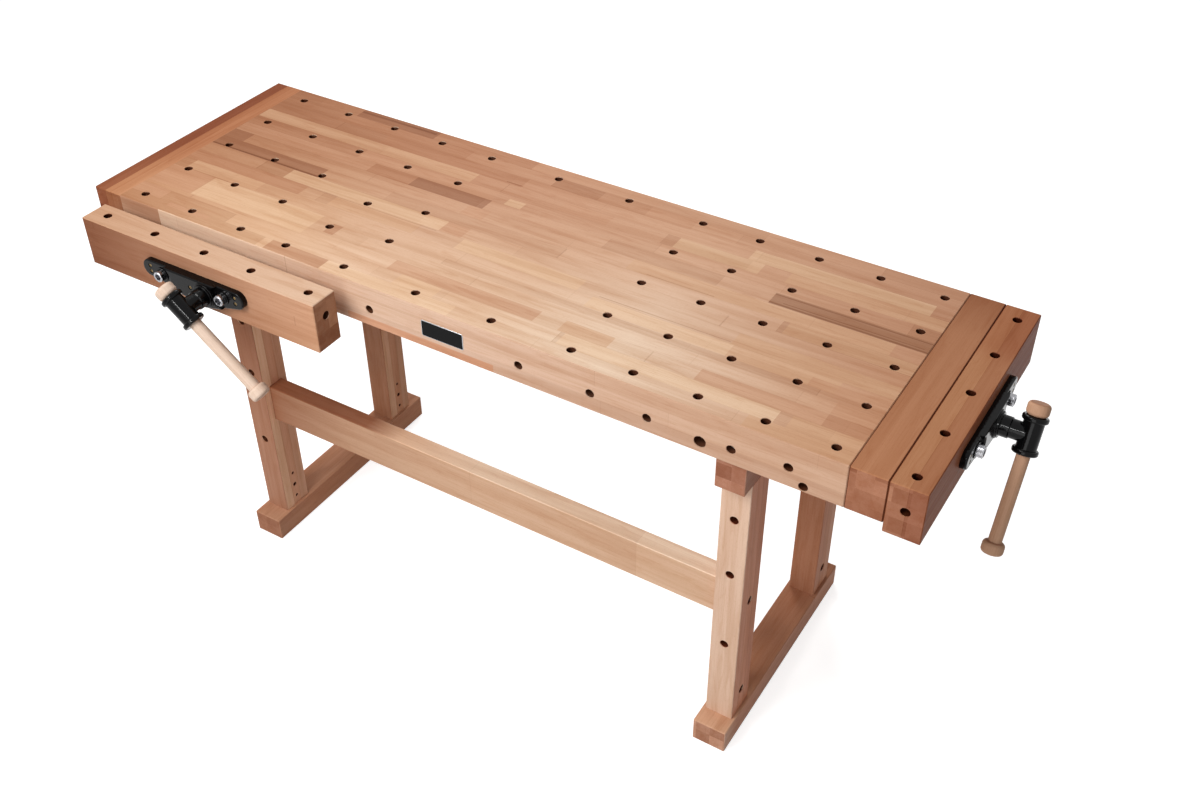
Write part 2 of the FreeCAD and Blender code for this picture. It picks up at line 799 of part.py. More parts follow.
def trestle(side):
    middle = TRESTLE_X[side]
    foot_length = f"({LEG_SPAN} + 2 * foot_overhang)"
    foot = cross_rail(f"{side}Foot", "foot_width", foot_length, "foot_height", "top")
    foot_at = (f"{middle} - foot_width / 2", "leg_front_setback - foot_overhang", "0")
    node(foot, f"{side}_foot", foot_at)
    bearer = cross_rail(f"{side}Bearer", "leg_width", BEARER_LENGTH, "bearer_height", "bottom")
    places = [("leg_width / 2", f"({y} - {BEARER_Y})") for y in (BEARER_BOLT_Y, BEARER_BOLT_BACK_Y)]
    drill(bearer, "bottom", places, HOLE_RADIUS)
    bearer_at = (f"{middle} - leg_width / 2", BEARER_Y, BEARER_Z)
    node(bearer, f"{side}_bearer", bearer_at)
    for place_name, front in (("front", LEG_FRONT_Y), ("rear", LEG_BACK_Y)):
        leg(side, place_name, f"{middle} - leg_width / 2", front)


def leg(side, place_name, left, front):
    """A leg with a stub tenon at each end and the holes for stretcher, shelf and pegs."""
    body = board(f"{side}{place_name}Leg", "leg_width", "leg_depth", LEG_LENGTH, ("-z", "+z"))
    width = "(leg_width - 2 * tenon_shoulder)"
    depth = "(leg_depth - 2 * tenon_shoulder)"
    for offset, backwards in ((LEG_LENGTH, False), ("0", True)):
        sketch = sketch_on(body, "XY_Plane", offset, "Tenon")
        rectangle(sketch, "tenon_shoulder", "tenon_shoulder", width, depth)
        add_feature(body, "Pad", sketch, backwards=backwards, Length="tenon_length")
    inner, outer = ("right", "left") if side == "left" else ("left", "right")
    walls = {"left": "0", "right": "leg_width"}
    heights = [f"({STRETCHER_MIDDLE_Z} - foot_height)", "(lower_bolt_height - foot_height)"]
    bolts = [("leg_depth / 2", rise) for rise in heights]
    drill(body, outer, bolts, HOLE_RADIUS)
    drill(body, outer, bolts, "counterbore_radius", "counterbore_depth", walls[outer])
    dowels = [("leg_depth / 2", f"({rise} {sign} dowel_offset)") for rise in heights for sign in "-+"]
    drill(body, inner, dowels, "dowel_radius + joint_clearance / 2", "dowel_depth", walls[inner])
    if place_name == "front":
        rises = ("leg_peg_low", "leg_peg_middle", "leg_peg_high")
        pegs = [("leg_width / 2", f"({rise} - foot_height)") for rise in rises]
        drill(body, "front", pegs, "dog_radius", "peg_depth")
    node(body, f"{side}_{place_name}_leg", (left, front, "foot_height"))


def stretcher(place_name, leg_front, nut_face):
    length, depth, height = STRETCHER_LENGTH, "stretcher_thickness", "stretcher_height"
    body = board(f"{place_name}Stretcher", length, depth, height, ("-x", "+x"))
    middle = ("stretcher_thickness / 2", "stretcher_height / 2")
    dowels = [(middle[0], f"({middle[1]} {sign} dowel_offset)") for sign in "-+"]
    for face, wall in (("left", "0"), ("right", STRETCHER_LENGTH)):
        drill(body, face, [middle], HOLE_RADIUS, "nut_inset + barrel_nut_radius", wall)
        drill(body, face, dowels, "dowel_radius + joint_clearance / 2", "dowel_depth", wall)
    nuts = [("nut_inset", middle[1]), (f"({STRETCHER_LENGTH} - nut_inset)", middle[1])]
    depth = "(stretcher_thickness + barrel_nut_length) / 2"
    wall = "stretcher_thickness" if nut_face == "back" else "0"
    drill(body, nut_face, nuts, "barrel_nut_radius + joint_clearance", depth, wall)
    front = f"{leg_front} + (leg_depth - stretcher_thickness) / 2"
    node(body, f"{place_name}_stretcher", (STRETCHER_X, front, "stretcher_top - stretcher_height"))


def frame_fasteners():
    """Bolts, barrel nuts and dowels of the stretchers, and the bearers' bolts and nuts."""
    bolts, nuts, dowels = [], [], []
    reach = "(leg_width - counterbore_depth + nut_inset + barrel_nut_radius)"
    dowel_length = "(2 * dowel_depth - 2 * joint_clearance)"
    for front in (LEG_FRONT_Y, LEG_BACK_Y):
        y = f"({front} + leg_depth / 2)"
        left_x = f"({TRESTLE_X['left']} - leg_width / 2 + counterbore_depth)"
        right_x = f"({TRESTLE_X['right']} + leg_width / 2 - counterbore_depth)"
        left, right = (left_x, y, STRETCHER_MIDDLE_Z), (right_x, y, STRETCHER_MIDDLE_Z)
        bolts += [hex_bolt(left, "+x", reach), hex_bolt(right, "-x", reach)]
        left_joint, right_joint = STRETCHER_X, f"({STRETCHER_X} + {STRETCHER_LENGTH})"
        for x in (f"({left_joint} + nut_inset)", f"({right_joint} - nut_inset)"):
            nuts.append(barrel_nut((x, y, STRETCHER_MIDDLE_Z), "+y", "+x"))
        for x in (left_joint, right_joint):
            for sign in "-+":
                start = (f"({x} - {dowel_length} / 2)", y, f"({STRETCHER_MIDDLE_Z} {sign} dowel_offset)")
                dowels.append(cylinder("dowel_radius", dowel_length, start, "+x"))
    group("stretcher_bolts", bolts)
    group("stretcher_nuts", nuts)
    group("stretcher_dowels", dowels)
    bearer_bolts, bearer_nuts = [], []
    length = "(bearer_height + apron_height - bearer_nut_drop + barrel_nut_radius)"
    for x in TRESTLE_X.values():
        for y in (BEARER_BOLT_Y, BEARER_BOLT_BACK_Y):
            bearer_bolts.append(hex_bolt((x, y, BEARER_Z), "+z", length))
            nut_at = (x, y, "(bench_height - bearer_nut_drop)")
            bearer_nuts.append(barrel_nut(nut_at, "+y", "+z"))
    group("bearer_bolts", bearer_bolts)
    group("bearer_nuts", bearer_nuts)


# --- vise jaws -------------------------------------------------------------------------------


def front_jaw():
    body = board("FrontJaw", "front_jaw_length", "front_jaw_thickness", "jaw_height")
    places = column_places()
    places[3] = "jaw_hole_four_x"
    holes = [(f"({x} - left_cap_width)", "front_jaw_thickness / 2") for x in places[:5]]
    drill(body, "top", holes, "dog_radius")
    end_hole = [("front_jaw_thickness / 2", "jaw_height - jaw_end_hole_drop")]
    drill(body, "right", end_hole, "dog_radius", "jaw_end_hole_depth", "front_jaw_length")
    drill_for_vise(body, FRONT_VISE, JAW_Z, "joint_clearance")
    drill_jaw_face(body, FRONT_VISE, "0")
    front = "-(front_gap + front_jaw_thickness)"
    return node(body, "front_jaw", ("left_cap_width", front, JAW_Z))


def end_jaw():
    body = board("EndJaw", "end_jaw_thickness", "top_depth", "jaw_height")
    holes = [("end_jaw_thickness / 2", row_place(row)) for row in range(5)]
    drill(body, "top", holes, "dog_radius", "end_jaw_hole_depth", "jaw_height")
    end_hole = [("end_jaw_thickness / 2", "jaw_height - end_jaw_front_hole_drop")]
    drill(body, "front", end_hole, "dog_radius", "peg_depth")
    drill_for_vise(body, END_VISE, JAW_Z, "joint_clearance")
    drill_jaw_face(body, END_VISE, "end_jaw_thickness")
    return node(body, "end_jaw", ("top_length + end_gap", "0", JAW_Z))


# --- vise ironwork ---------------------------------------------------------------------------


def face_plate(vise):
    """The cast front plate: boat-shaped, raised between its rods, with a stepped screw boss."""
    body = new_body(f"{vise['name']}Plate")
    middle = f"(-{vise['offset']})"
    reach = "(plate_length / 2 - plate_end_radius)"
    outline = sketch_on(body, "XY_Plane")
    left, right = f"({middle} - {reach})", f"({middle} + {reach})"
    casting_outline(outline, left, right, "plate_end_lift", "plate_end_radius", "plate_hub_radius")
    add_feature(body, "Pad", outline, Length="plate_thickness")
    ends = sketch_on(body, "XZ_Plane", name="Ends")
    thin_ends(ends, middle)
    add_feature(body, "Pocket", ends, through=True)
    rods = rod_places(vise)
    spot_face(body, rods, "plate_recess_radius", "plate_end_thickness", "plate_thickness")
    rim = edges_where(body, lambda edge: follows_rim(edge, body.Shape.BoundBox))
    ease_edges(body, "Fillet", rim, Radius="plate_round")
    for places, radius, height in (
        (SCREW, "boss_radius", "boss_height"),
        (SCREW, "ring_radius", "ring_height"),
        (rods, "rod_boss_radius", "rod_boss_height"),
    ):
        boss = sketch_on(body, "XY_Plane", name="Boss")
        circles(boss, places, radius)
        add_feature(body, "Pad", boss, Length=height)
    for radius, height in (("boss_radius", "boss_height"), ("ring_radius", "ring_height")):
        rim = edges_where(body, lambda edge: is_round(edge, radius) and lies_at(edge, height))
        ease_edges(body, "Fillet", rim, Radius="ring_round")
    drill(body, "top", SCREW, "screw_radius + running_clearance")
    drill(body, "top", rods, "rod_screw_radius + joint_clearance")
    head_room = "rod_screw_head_radius + bolt_clearance"
    spot_face(body, rods, head_room, "rod_screw_seat", "rod_boss_height")
    for screws, height in (
        (plate_end_screws(vise), "plate_end_thickness"),
        (vise["middle_screws"], "plate_thickness"),
    ):
        if screws:
            drill(body, "top", screws, "wood_screw_radius + joint_clearance")
            head_room = "wood_screw_head_radius + joint_clearance"
            spot_face(body, screws, head_room, wood_screw_seat(height), height)
    return node(body, f"{vise['name']}_vise_plate", vise["at"], vise["turn"])


def thin_ends(sketch, middle):
    """Two rectangles that take a plate down to its end thickness beyond the guide rods."""
    number = 0
    for sign in "-+":
        inner, outer = f"({middle} {sign} rod_spread / 2)", f"({middle} {sign} plate_length / 2)"
        low, high = "plate_end_thickness", "plate_thickness"
        polygon(sketch, [(inner, low), (outer, low), (outer, high), (inner, high)], number)
        number += 4


def wood_screw_seat(height):
    """Where a wood screw's head sits, so that it ends flush with a plate of some thickness."""
    return f"({height} - wood_screw_head_height)"


def lies_at(edge, height):
    """Whether a round edge lies at a height."""
    return abs(edge.Curve.Center.z - value(height)) < 1e-6


def follows_rim(edge, box):
    """Whether an edge is a level one above a plate's back, but not the foot of a recess."""
    ends = [edge.valueAt(edge.FirstParameter), edge.valueAt(edge.LastParameter)]
    level = abs(ends[0].z - ends[1].z) < 1e-6 and ends[0].z > box.ZMin + 1e-6
    recess_foot = is_round(edge, "plate_recess_radius") and lies_at(edge, "plate_end_thickness")
    return level and not recess_foot


def spot_face(body, places, radius, seat, top):
    """Flat-bottomed seats for screw heads, cut down from the outside."""
    sketch = sketch_on(body, "XY_Plane", seat, "Seats")
    circles(sketch, places, radius)
    add_feature(body, "Pocket", sketch, backwards=True, Length=f"{top} - {seat} + plate_round")


def plate_screws(vise):
    screws = []
    for places, height in (
        (plate_end_screws(vise), "plate_end_thickness"),
        (vise["middle_screws"], "plate_thickness"),
    ):
        for x, y in places:
            seat = (x, y, wood_screw_seat(height))
            shank = cylinder("wood_screw_radius", "wood_screw_length", seat, "-z")
            head = ("wood_screw_head_radius", "wood_screw_radius", "wood_screw_head_height", seat)
            screws.append(fused(shank, cone(*head)))
    group(f"{vise['name']}_plate_screws", screws, vise["at"], vise["turn"])


def guide_rods(vise):
    """Two steel rods held by cap screws from outside, long enough for the full opening."""
    length = f"({vise['jaw']} + opening_width + {vise['wall']} + {HOUSING_DEPTH} + rod_tail)"
    thread = "(rod_screw_length - rod_screw_seat + axial_play)"
    rods, screws = [], []
    for x, y in rod_places(vise):
        rod = cylinder("rod_radius", length, (x, y, "0"), "-z")
        rods.append(cut(rod, cylinder("rod_screw_radius", thread, (x, y, "0"), "-z")))
        seat = (x, y, "rod_screw_seat")
        head = cylinder("rod_screw_head_radius", "rod_screw_head_height", seat)
        shank = cylinder("rod_screw_radius", "rod_screw_length", seat, "-z")
        socket_at = (x, y, "rod_screw_seat + rod_screw_head_height - rod_screw_socket_depth")
        socket = hexagon("rod_screw_socket_radius", "rod_screw_socket_depth", socket_at)
        screws.append(cut(fused(head, shank), socket))
    group(f"{vise['name']}_guide_rods", rods, vise["at"], vise["turn"])
    group(f"{vise['name']}_rod_screws", screws, vise["at"], vise["turn"])


def rear_housing(vise):
    """The casting behind the top's edge that carries the nut and the guide bushes.

    Its z = 0 is the inner face of the apron or cap, and it stands inwards from there.
    """
    name, at, turn = vise["name"], vise["wall_face"], vise["turn"]
    body = new_body(f"{name}Housing")
    flange = sketch_on(body, "XY_Plane")
    left, right = [f"(-{vise['offset']} {sign} housing_screw_spread / 2)" for sign in "-+"]
    casting_outline(flange, left, right, "rod_rise", "housing_end_radius", "nut_boss_radius")
    add_feature(body, "Pad", flange, backwards=True, Length="housing_flange")
    rods = rod_places(vise)
    for places, radius, length in (
        (rods, "guide_boss_radius", HOUSING_DEPTH),
        (SCREW, "nut_boss_radius", "nut_boss_length"),
    ):
        boss = sketch_on(body, "XY_Plane", name="Boss")
        circles(boss, places, radius)
        add_feature(body, "Pad", boss, backwards=True, Length=length)
    bush_outer = "(rod_radius + running_clearance + bush_wall)"
    nut_outer = "(screw_radius + running_clearance + nut_wall)"
    drill(body, "top", rods, bush_outer)
    drill(body, "top", SCREW, nut_outer)
    drill(body, "top", housing_screws(vise), "housing_screw_radius + joint_clearance")
    node(body, f"{name}_vise_housing", at, turn)
    bore = "rod_radius + running_clearance"
    bushes = [tube(bush_outer, bore, HOUSING_DEPTH, (x, y, "0"), "-z") for x, y in rods]
    group(f"{name}_guide_bushes", bushes, at, turn)
    bore = "screw_radius + running_clearance"
    nut = tube(nut_outer, bore, "nut_boss_length", ("0", "0", "0"), "-z")
    node(nut, f"{name}_vise_nut", at, turn)
    fasteners = []
    for x, y in housing_screws(vise):
        seat = (x, y, "-housing_flange")
        head = hexagon("housing_screw_head_radius", "housing_screw_head_height", seat, "-z")
        fasteners.append(fused(head, cylinder("housing_screw_radius", "housing_screw_length", seat)))
    group(f"{name}_housing_screws", fasteners, at, turn)


def vise_screw(vise):
    """The screw spindle, its T-shaped head with a bored barrel, and the collar inside the jaw."""
    name = vise["name"]
    spin = vise["turn"] * Rotation(Vector(0, 0, 1), value(vise["angle"]))
    tail = f"({vise['jaw']} + opening_width + {vise['wall']} + nut_boss_length + rod_tail)"
    socket = "(ring_height + axial_play + head_socket_depth)"
    spindle = turned(
        f"{name}Spindle",
        [("0", f"-{tail}"), ("screw_radius", f"-{tail}"), ("screw_radius", socket), ("0", socket)],
    )
    node(spindle, f"{name}_screw", vise["at"], vise["turn"])
    start = "(ring_height + axial_play)"
    neck = f"({start} + head_neck_length)"
    head = turned(
        f"{name}Head",
        [
            ("screw_radius", start),
            ("head_neck_radius", start),
            ("head_neck_radius", neck),
            ("head_stem_radius", f"({neck} + head_neck_radius - head_stem_radius)"),
            ("head_stem_radius", "head_reach"),
            ("0", "head_reach"),
            ("0", socket),
            ("screw_radius", socket),
        ],
    )
    barrel = sketch_on(head, "YZ_Plane", "-barrel_length / 2", "Barrel")
    circles(barrel, [("0", "head_reach")], "barrel_radius")
    add_feature(head, "Pad", barrel, Length="barrel_length")
    for offset in ("-barrel_length / 2", "barrel_length / 2 - flange_thickness"):
        flange = sketch_on(head, "YZ_Plane", offset, "Flange")
        circles(flange, [("0", "head_reach")], "flange_radius")
        add_feature(head, "Pad", flange, Length="flange_thickness")
    rims = edges_where(head, lambda edge: is_round(edge, "flange_radius"))
    ease_edges(head, "Fillet", rims, Radius="flange_round")
    drill(head, "left", [("0", "head_reach")], "handle_radius + handle_clearance")
    node(head, f"{name}_screw_head", vise["at"], spin)
    collar_at = ("0", "0", "-axial_play")
    collar = tube("collar_radius", "screw_radius", "collar_length", collar_at, "-z")
    node(collar, f"{name}_screw_collar", vise["at"], vise["turn"])


def handle(vise):
    """A wooden bar with a knob on each end, slid down until its upper knob meets the barrel."""
    name = vise["name"]
    spin = vise["turn"] * Rotation(Vector(0, 0, 1), value(vise["angle"]))
    along = f"({KNOB_FACE} - barrel_length / 2)"
    bar = turned(
        f"{name}Bar",
        [
            ("0", f"-({KNOB_FACE} + knob_tenon_length)"),
            ("knob_tenon_radius", f"-({KNOB_FACE} + knob_tenon_length)"),
            ("knob_tenon_radius", f"-{KNOB_FACE}"),
            ("handle_radius", f"-{KNOB_FACE}"),
            ("handle_radius", KNOB_FACE),
            ("knob_tenon_radius", KNOB_FACE),
            ("knob_tenon_radius", f"({KNOB_FACE} + knob_tenon_length)"),
            ("0", f"({KNOB_FACE} + knob_tenon_length)"),
        ],
    )
    lay = spin * Rotation(Vector(0, 1, 0), 90)
    middle = lay.multVec(Vector(0, 0, 1))
    reach = spin.multVec(Vector(0, 0, 1))
    at = tuple(
        f"{place} + ({getattr(reach, axis):.9f}) * head_reach + ({getattr(middle, axis):.9f}) * {along}"
        for place, axis in zip(vise["at"], "xyz")
    )
    node(bar, f"{name}_handle_bar", at, lay)
    for knob_name, start in (("lower", KNOB_FACE), ("upper", f"-({KNOB_FACE} + knob_length)")):
        knob(f"{name}_handle_{knob_name}_knob", start, knob_name == "lower", at, lay)


def knob(label, start, crown_up, at, lay):
    """A turned knob: a flat foot on the bar's shoulder, and a crowned outer end."""
    body = new_body(label)
    sketch = sketch_on(body, "XY_Plane", start)
    circles(sketch, [("0", "0")], "knob_radius")
    add_feature(body, "Pad", sketch, Length="knob_length")
    for side, radius in (("+z", "knob_crown"), ("-z", "knob_foot")):
        if not crown_up:
            side = {"+z": "-z", "-z": "+z"}[side]
        rim = edges_where(body, lambda edge: on_side(edge, body.Shape.BoundBox, side))
        ease_edges(body, "Fillet", rim, Radius=radius)
    mouth = start if crown_up else f"({start} + knob_length)"
    socket = sketch_on(body, "XY_Plane", mouth, "Socket")
    circles(socket, [("0", "0")], "knob_tenon_radius")
    add_feature(body, "Pocket", socket, backwards=crown_up, Length="knob_tenon_length")
    node(body, label, at, lay)


# --- assembly --------------------------------------------------------------------------------

top_panel()
front_apron()
rear_apron()
left_end_cap()
right_end_cap()
end_cap_fasteners()
for trestle_side in ("left", "right"):
    trestle(trestle_side)
stretcher("front", LEG_FRONT_Y, "back")
stretcher("rear", LEG_BACK_Y, "front")
frame_fasteners()
front_jaw()
end_jaw()
for one_vise in (FRONT_VISE, END_VISE):
    face_plate(one_vise)
    plate_screws(one_vise)
    guide_rods(one_vise)
    rear_housing(one_vise)
    vise_screw(one_vise)
    handle(one_vise)
doc.recompute()

for thing in doc.Objects:
    if "Invalid" in thing.State or "Error" in thing.State:
        raise RuntimeError(f"{thing.Label} failed: {thing.State}")
for thing in nodes:
    if thing.Shape.isNull() or not thing.Shape.isValid():
        raise RuntimeError(f"{thing.Label} has no valid shape")

os.makedirs("parts", exist_ok=True)
for thing in nodes:
    thing.Shape.exportStep(f"parts/{thing.Label}.step")
print(len(nodes), "sub-parts written")
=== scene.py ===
import json
import math

import bmesh
import bpy
from mathutils import Matrix, Vector


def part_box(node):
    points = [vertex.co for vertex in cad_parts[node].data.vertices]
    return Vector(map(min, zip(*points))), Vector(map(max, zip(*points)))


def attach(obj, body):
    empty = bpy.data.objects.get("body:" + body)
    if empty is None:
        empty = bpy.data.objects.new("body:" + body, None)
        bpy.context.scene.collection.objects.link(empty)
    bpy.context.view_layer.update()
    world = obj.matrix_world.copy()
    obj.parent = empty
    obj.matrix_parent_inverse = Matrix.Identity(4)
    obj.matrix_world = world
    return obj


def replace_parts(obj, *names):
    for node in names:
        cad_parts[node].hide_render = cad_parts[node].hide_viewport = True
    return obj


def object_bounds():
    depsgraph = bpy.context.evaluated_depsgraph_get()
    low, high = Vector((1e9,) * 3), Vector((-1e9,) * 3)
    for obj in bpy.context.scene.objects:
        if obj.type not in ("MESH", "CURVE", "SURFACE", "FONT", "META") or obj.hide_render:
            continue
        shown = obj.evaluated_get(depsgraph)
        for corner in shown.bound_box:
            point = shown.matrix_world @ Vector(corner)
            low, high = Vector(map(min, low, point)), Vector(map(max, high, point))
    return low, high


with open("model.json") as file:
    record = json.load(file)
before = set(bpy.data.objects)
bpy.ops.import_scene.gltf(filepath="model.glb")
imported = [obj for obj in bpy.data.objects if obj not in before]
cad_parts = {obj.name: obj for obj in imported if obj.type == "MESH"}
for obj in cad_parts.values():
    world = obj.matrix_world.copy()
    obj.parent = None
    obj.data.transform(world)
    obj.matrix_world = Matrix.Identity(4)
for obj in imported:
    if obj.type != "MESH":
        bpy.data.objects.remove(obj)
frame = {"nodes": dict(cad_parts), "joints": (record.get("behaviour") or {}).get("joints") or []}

cad_low, cad_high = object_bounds()
MM = 0.001
X, Y, Z = Vector((1, 0, 0)), Vector((0, 1, 0)), Vector((0, 0, 1))
JOINTS = {joint["name"]: joint for joint in frame["joints"]}


def srgb(red, green, blue):
    """A colour given in the 0 to 255 steps of a screen, as the linear light Blender works in."""
    return tuple(((step / 255 + 0.055) / 1.055) ** 2.4 for step in (red, green, blue))


def across(along):
    """Two directions square to a given direction and to each other."""
    first = X if abs(along.dot(X)) < 0.7 else Y
    first = (first - along * first.dot(along)).normalized()
    return first, along.cross(first)


def set_range(node, start, end, low, high):
    """The range that a Map Range node takes its value from, and the one it maps it to."""
    for name, number in (("From Min", start), ("From Max", end), ("To Min", low), ("To Max", high)):
        node.inputs[name].default_value = number


# --- shader sums ------------------------------------------------------------------------------

# Where a Mix node has its colour sockets.
MIX_FIRST, MIX_SECOND, MIX_RESULT = 6, 7, 2


class Wire:
    """A number or vector on its way between shader nodes, which can be used in sums."""

    def __init__(self, tree, socket):
        self.tree = tree
        self.socket = socket

    def __add__(self, other):
        return self.tree.sum("ADD", self, other)

    def __sub__(self, other):
        return self.tree.sum("SUBTRACT", self, other)

    def __rsub__(self, other):
        return self.tree.sum("SUBTRACT", other, self)

    def __mul__(self, other):
        return self.tree.sum("MULTIPLY", self, other)

    def __truediv__(self, other):
        return self.tree.sum("DIVIDE", self, other)

    def floor(self):
        return self.tree.sum("FLOOR", self)

    def fraction(self):
        return self.tree.sum("FRACT", self)

    def sine(self):
        return self.tree.sum("SINE", self)

    def size(self):
        return self.tree.sum("ABSOLUTE", self)

    def above(self, limit):
        """1 where this is over a limit, and 0 elsewhere, as in the two sums below."""
        return self.tree.sum("GREATER_THAN", self, limit)

    def below(self, limit):
        return self.tree.sum("LESS_THAN", self, limit)

    def between(self, start, end):
        return self.tree.sum("COMPARE", self, (start + end) / 2, (end - start) / 2)


class Tree:
    """A new material and short calls for the shader nodes that this script uses."""

    def __init__(self, name, **settings):
        self.material = bpy.data.materials.new(name)
        self.material.use_nodes = True
        self.nodes = self.material.node_tree.nodes
        self.links = self.material.node_tree.links
        self.shader = self.nodes["Principled BSDF"]
        for socket, amount in settings.items():
            self.shader.inputs[socket.replace("_", " ")].default_value = amount

    def feed(self, socket, source):
        if isinstance(source, Wire):
            self.links.new(source.socket, socket)
        else:
            socket.default_value = source

    def sum(self, operation, *terms):
        node = self.nodes.new("ShaderNodeMath")
        node.operation = operation
        for socket, term in zip(node.inputs, terms):
            self.feed(socket, term)
        return Wire(self, node.outputs[0])

    def place(self):
        """Where a point lies on the object, in metres."""
        return Wire(self, self.coordinates().outputs["Object"])

    def facing(self):
        """The way a point's surface faces, turning with the object."""
        return Wire(self, self.coordinates().outputs["Normal"])

    def coordinates(self):
        return self.nodes.new("ShaderNodeTexCoord")

    def dot(self, vector, direction):
        node = self.nodes.new("ShaderNodeVectorMath")
        node.operation = "DOT_PRODUCT"
        self.feed(node.inputs[0], vector)
        node.inputs[1].default_value = direction
        return Wire(self, node.outputs["Value"])

    def combine(self, x, y, z):
        node = self.nodes.new("ShaderNodeCombineXYZ")
        for socket, term in zip(node.inputs, (x, y, z)):
            self.feed(socket, term)
        return Wire(self, node.outputs[0])

    def chance(self, x, y, z):
        """A random number from 0 to 1 for each whole place."""
        node = self.nodes.new("ShaderNodeTexWhiteNoise")
        self.feed(node.inputs["Vector"], self.combine(x, y, z))
        return Wire(self, node.outputs["Value"])

    def noise(self, vector, detail=2.0, roughness=0.5, distortion=0.0):
        node = self.nodes.new("ShaderNodeTexNoise")
        self.feed(node.inputs["Vector"], vector)
        node.inputs["Scale"].default_value = 1.0
        node.inputs["Detail"].default_value = detail
        node.inputs["Roughness"].default_value = roughness
        node.inputs["Distortion"].default_value = distortion
        return Wire(self, node.outputs["Fac"])

    def even_noise(self, scale, detail=2.0):
        """Noise that is as coarse in every direction, with its scale per metre."""
        place = self.place()
        return self.noise(self.combine(*[self.dot(place, axis) * scale for axis in (X, Y, Z)]), detail)

    def drawn_noise(self, along, run_scale, side_scale, detail, roughness=0.5, distortion=0.0):
        """Noise drawn out along a direction, with its scales per metre along and across it."""
        place = self.place()
        sides = [self.dot(place, side) * side_scale for side in across(along)]
        vector = self.combine(self.dot(place, along) * run_scale, *sides)
        return self.noise(vector, detail, roughness, distortion)

    def ramp(self, amount, stops, steps=False):
        """Colours at stops along an amount, which blend, or hold until the next stop."""
        node = self.nodes.new("ShaderNodeValToRGB")
        node.color_ramp.interpolation = "CONSTANT" if steps else "LINEAR"
        elements = node.color_ramp.elements
        while len(elements) > max(len(stops), 1):
            elements.remove(elements[-1])
        while len(elements) < len(stops):
            elements.new(0.5)
        for element, (position, colour) in zip(elements, stops):
            element.position = position
            element.color = (*colour, 1)
        self.feed(node.inputs["Fac"], amount)
        return Wire(self, node.outputs["Color"])

    def mix(self, amount, first, second, blend="MIX"):
        node = self.nodes.new("ShaderNodeMix")
        node.data_type = "RGBA"
        node.blend_type = blend
        node.clamp_factor = True
        self.feed(node.inputs["Factor"], amount)
        for socket, colour in ((MIX_FIRST, first), (MIX_SECOND, second)):
            self.feed(node.inputs[socket], colour if isinstance(colour, Wire) else (*colour, 1))
        return Wire(self, node.outputs[MIX_RESULT])

    def smooth(self, amount, start, end, low=0.0, high=1.0):
        node = self.nodes.new("ShaderNodeMapRange")
        node.interpolation_type = "SMOOTHSTEP"
        self.feed(node.inputs["Value"], amount)
        set_range(node, start, end, low, high)
        return Wire(self, node.outputs["Result"])

    def colour(self, colour):
        self.feed(self.shader.inputs["Base Color"], colour)

    def roughness(self, amount):
        self.feed(self.shader.inputs["Roughness"], amount)

    def bump(self, height, distance, strength=1.0):
        node = self.nodes.new("ShaderNodeBump")
        node.inputs["Strength"].default_value = strength
        node.inputs["Distance"].default_value = distance
        self.feed(node.inputs["Height"], height)
        self.links.new(node.outputs["Normal"], self.shader.inputs["Normal"])


# --- wood -------------------------------------------------------------------------------------

CREAM = srgb(232, 200, 168)
PALE = srgb(224, 188, 154)
TAN = srgb(210, 168, 134)
ROSE = srgb(198, 150, 119)
BROWN = srgb(178, 126, 95)
DARK = srgb(142, 92, 66)
GREY = srgb(146, 102, 76)
# What dark places leave of a tone's red, green and blue: real glue lines, painted shade in the
# gaps beside the right cap, and painted shade on the walls of holes.
SEAM = (0.55, 0.42, 0.34)
GAP_SHADE = (0.22, 0.12, 0.09)
HOLE_SHADE = (0.16, 0.09, 0.07)
BROAD_SHADE = (0.89, 0.83, 0.78)
SWIRL_SHADE = (0.90, 0.82, 0.76)
LINE_SHADE = (0.91, 0.85, 0.80)
FLECK_SHADE = (0.80, 0.70, 0.62)
BLOCK_SHADE = (0.62, 0.50, 0.44)
EVEN = (1.0, 1.0, 1.0)
# Keys that keep the random draws for staves and end-grain blocks apart.
START_DRAW, PACE_DRAW, BLOCK_DRAW = 3.0, 11.0, 7.0
# The blocks that glued-up staves show on end grain, in metres, and a glue line's width in mm.
END_BLOCK = 33 * MM
GLUE_LINE = 0.8


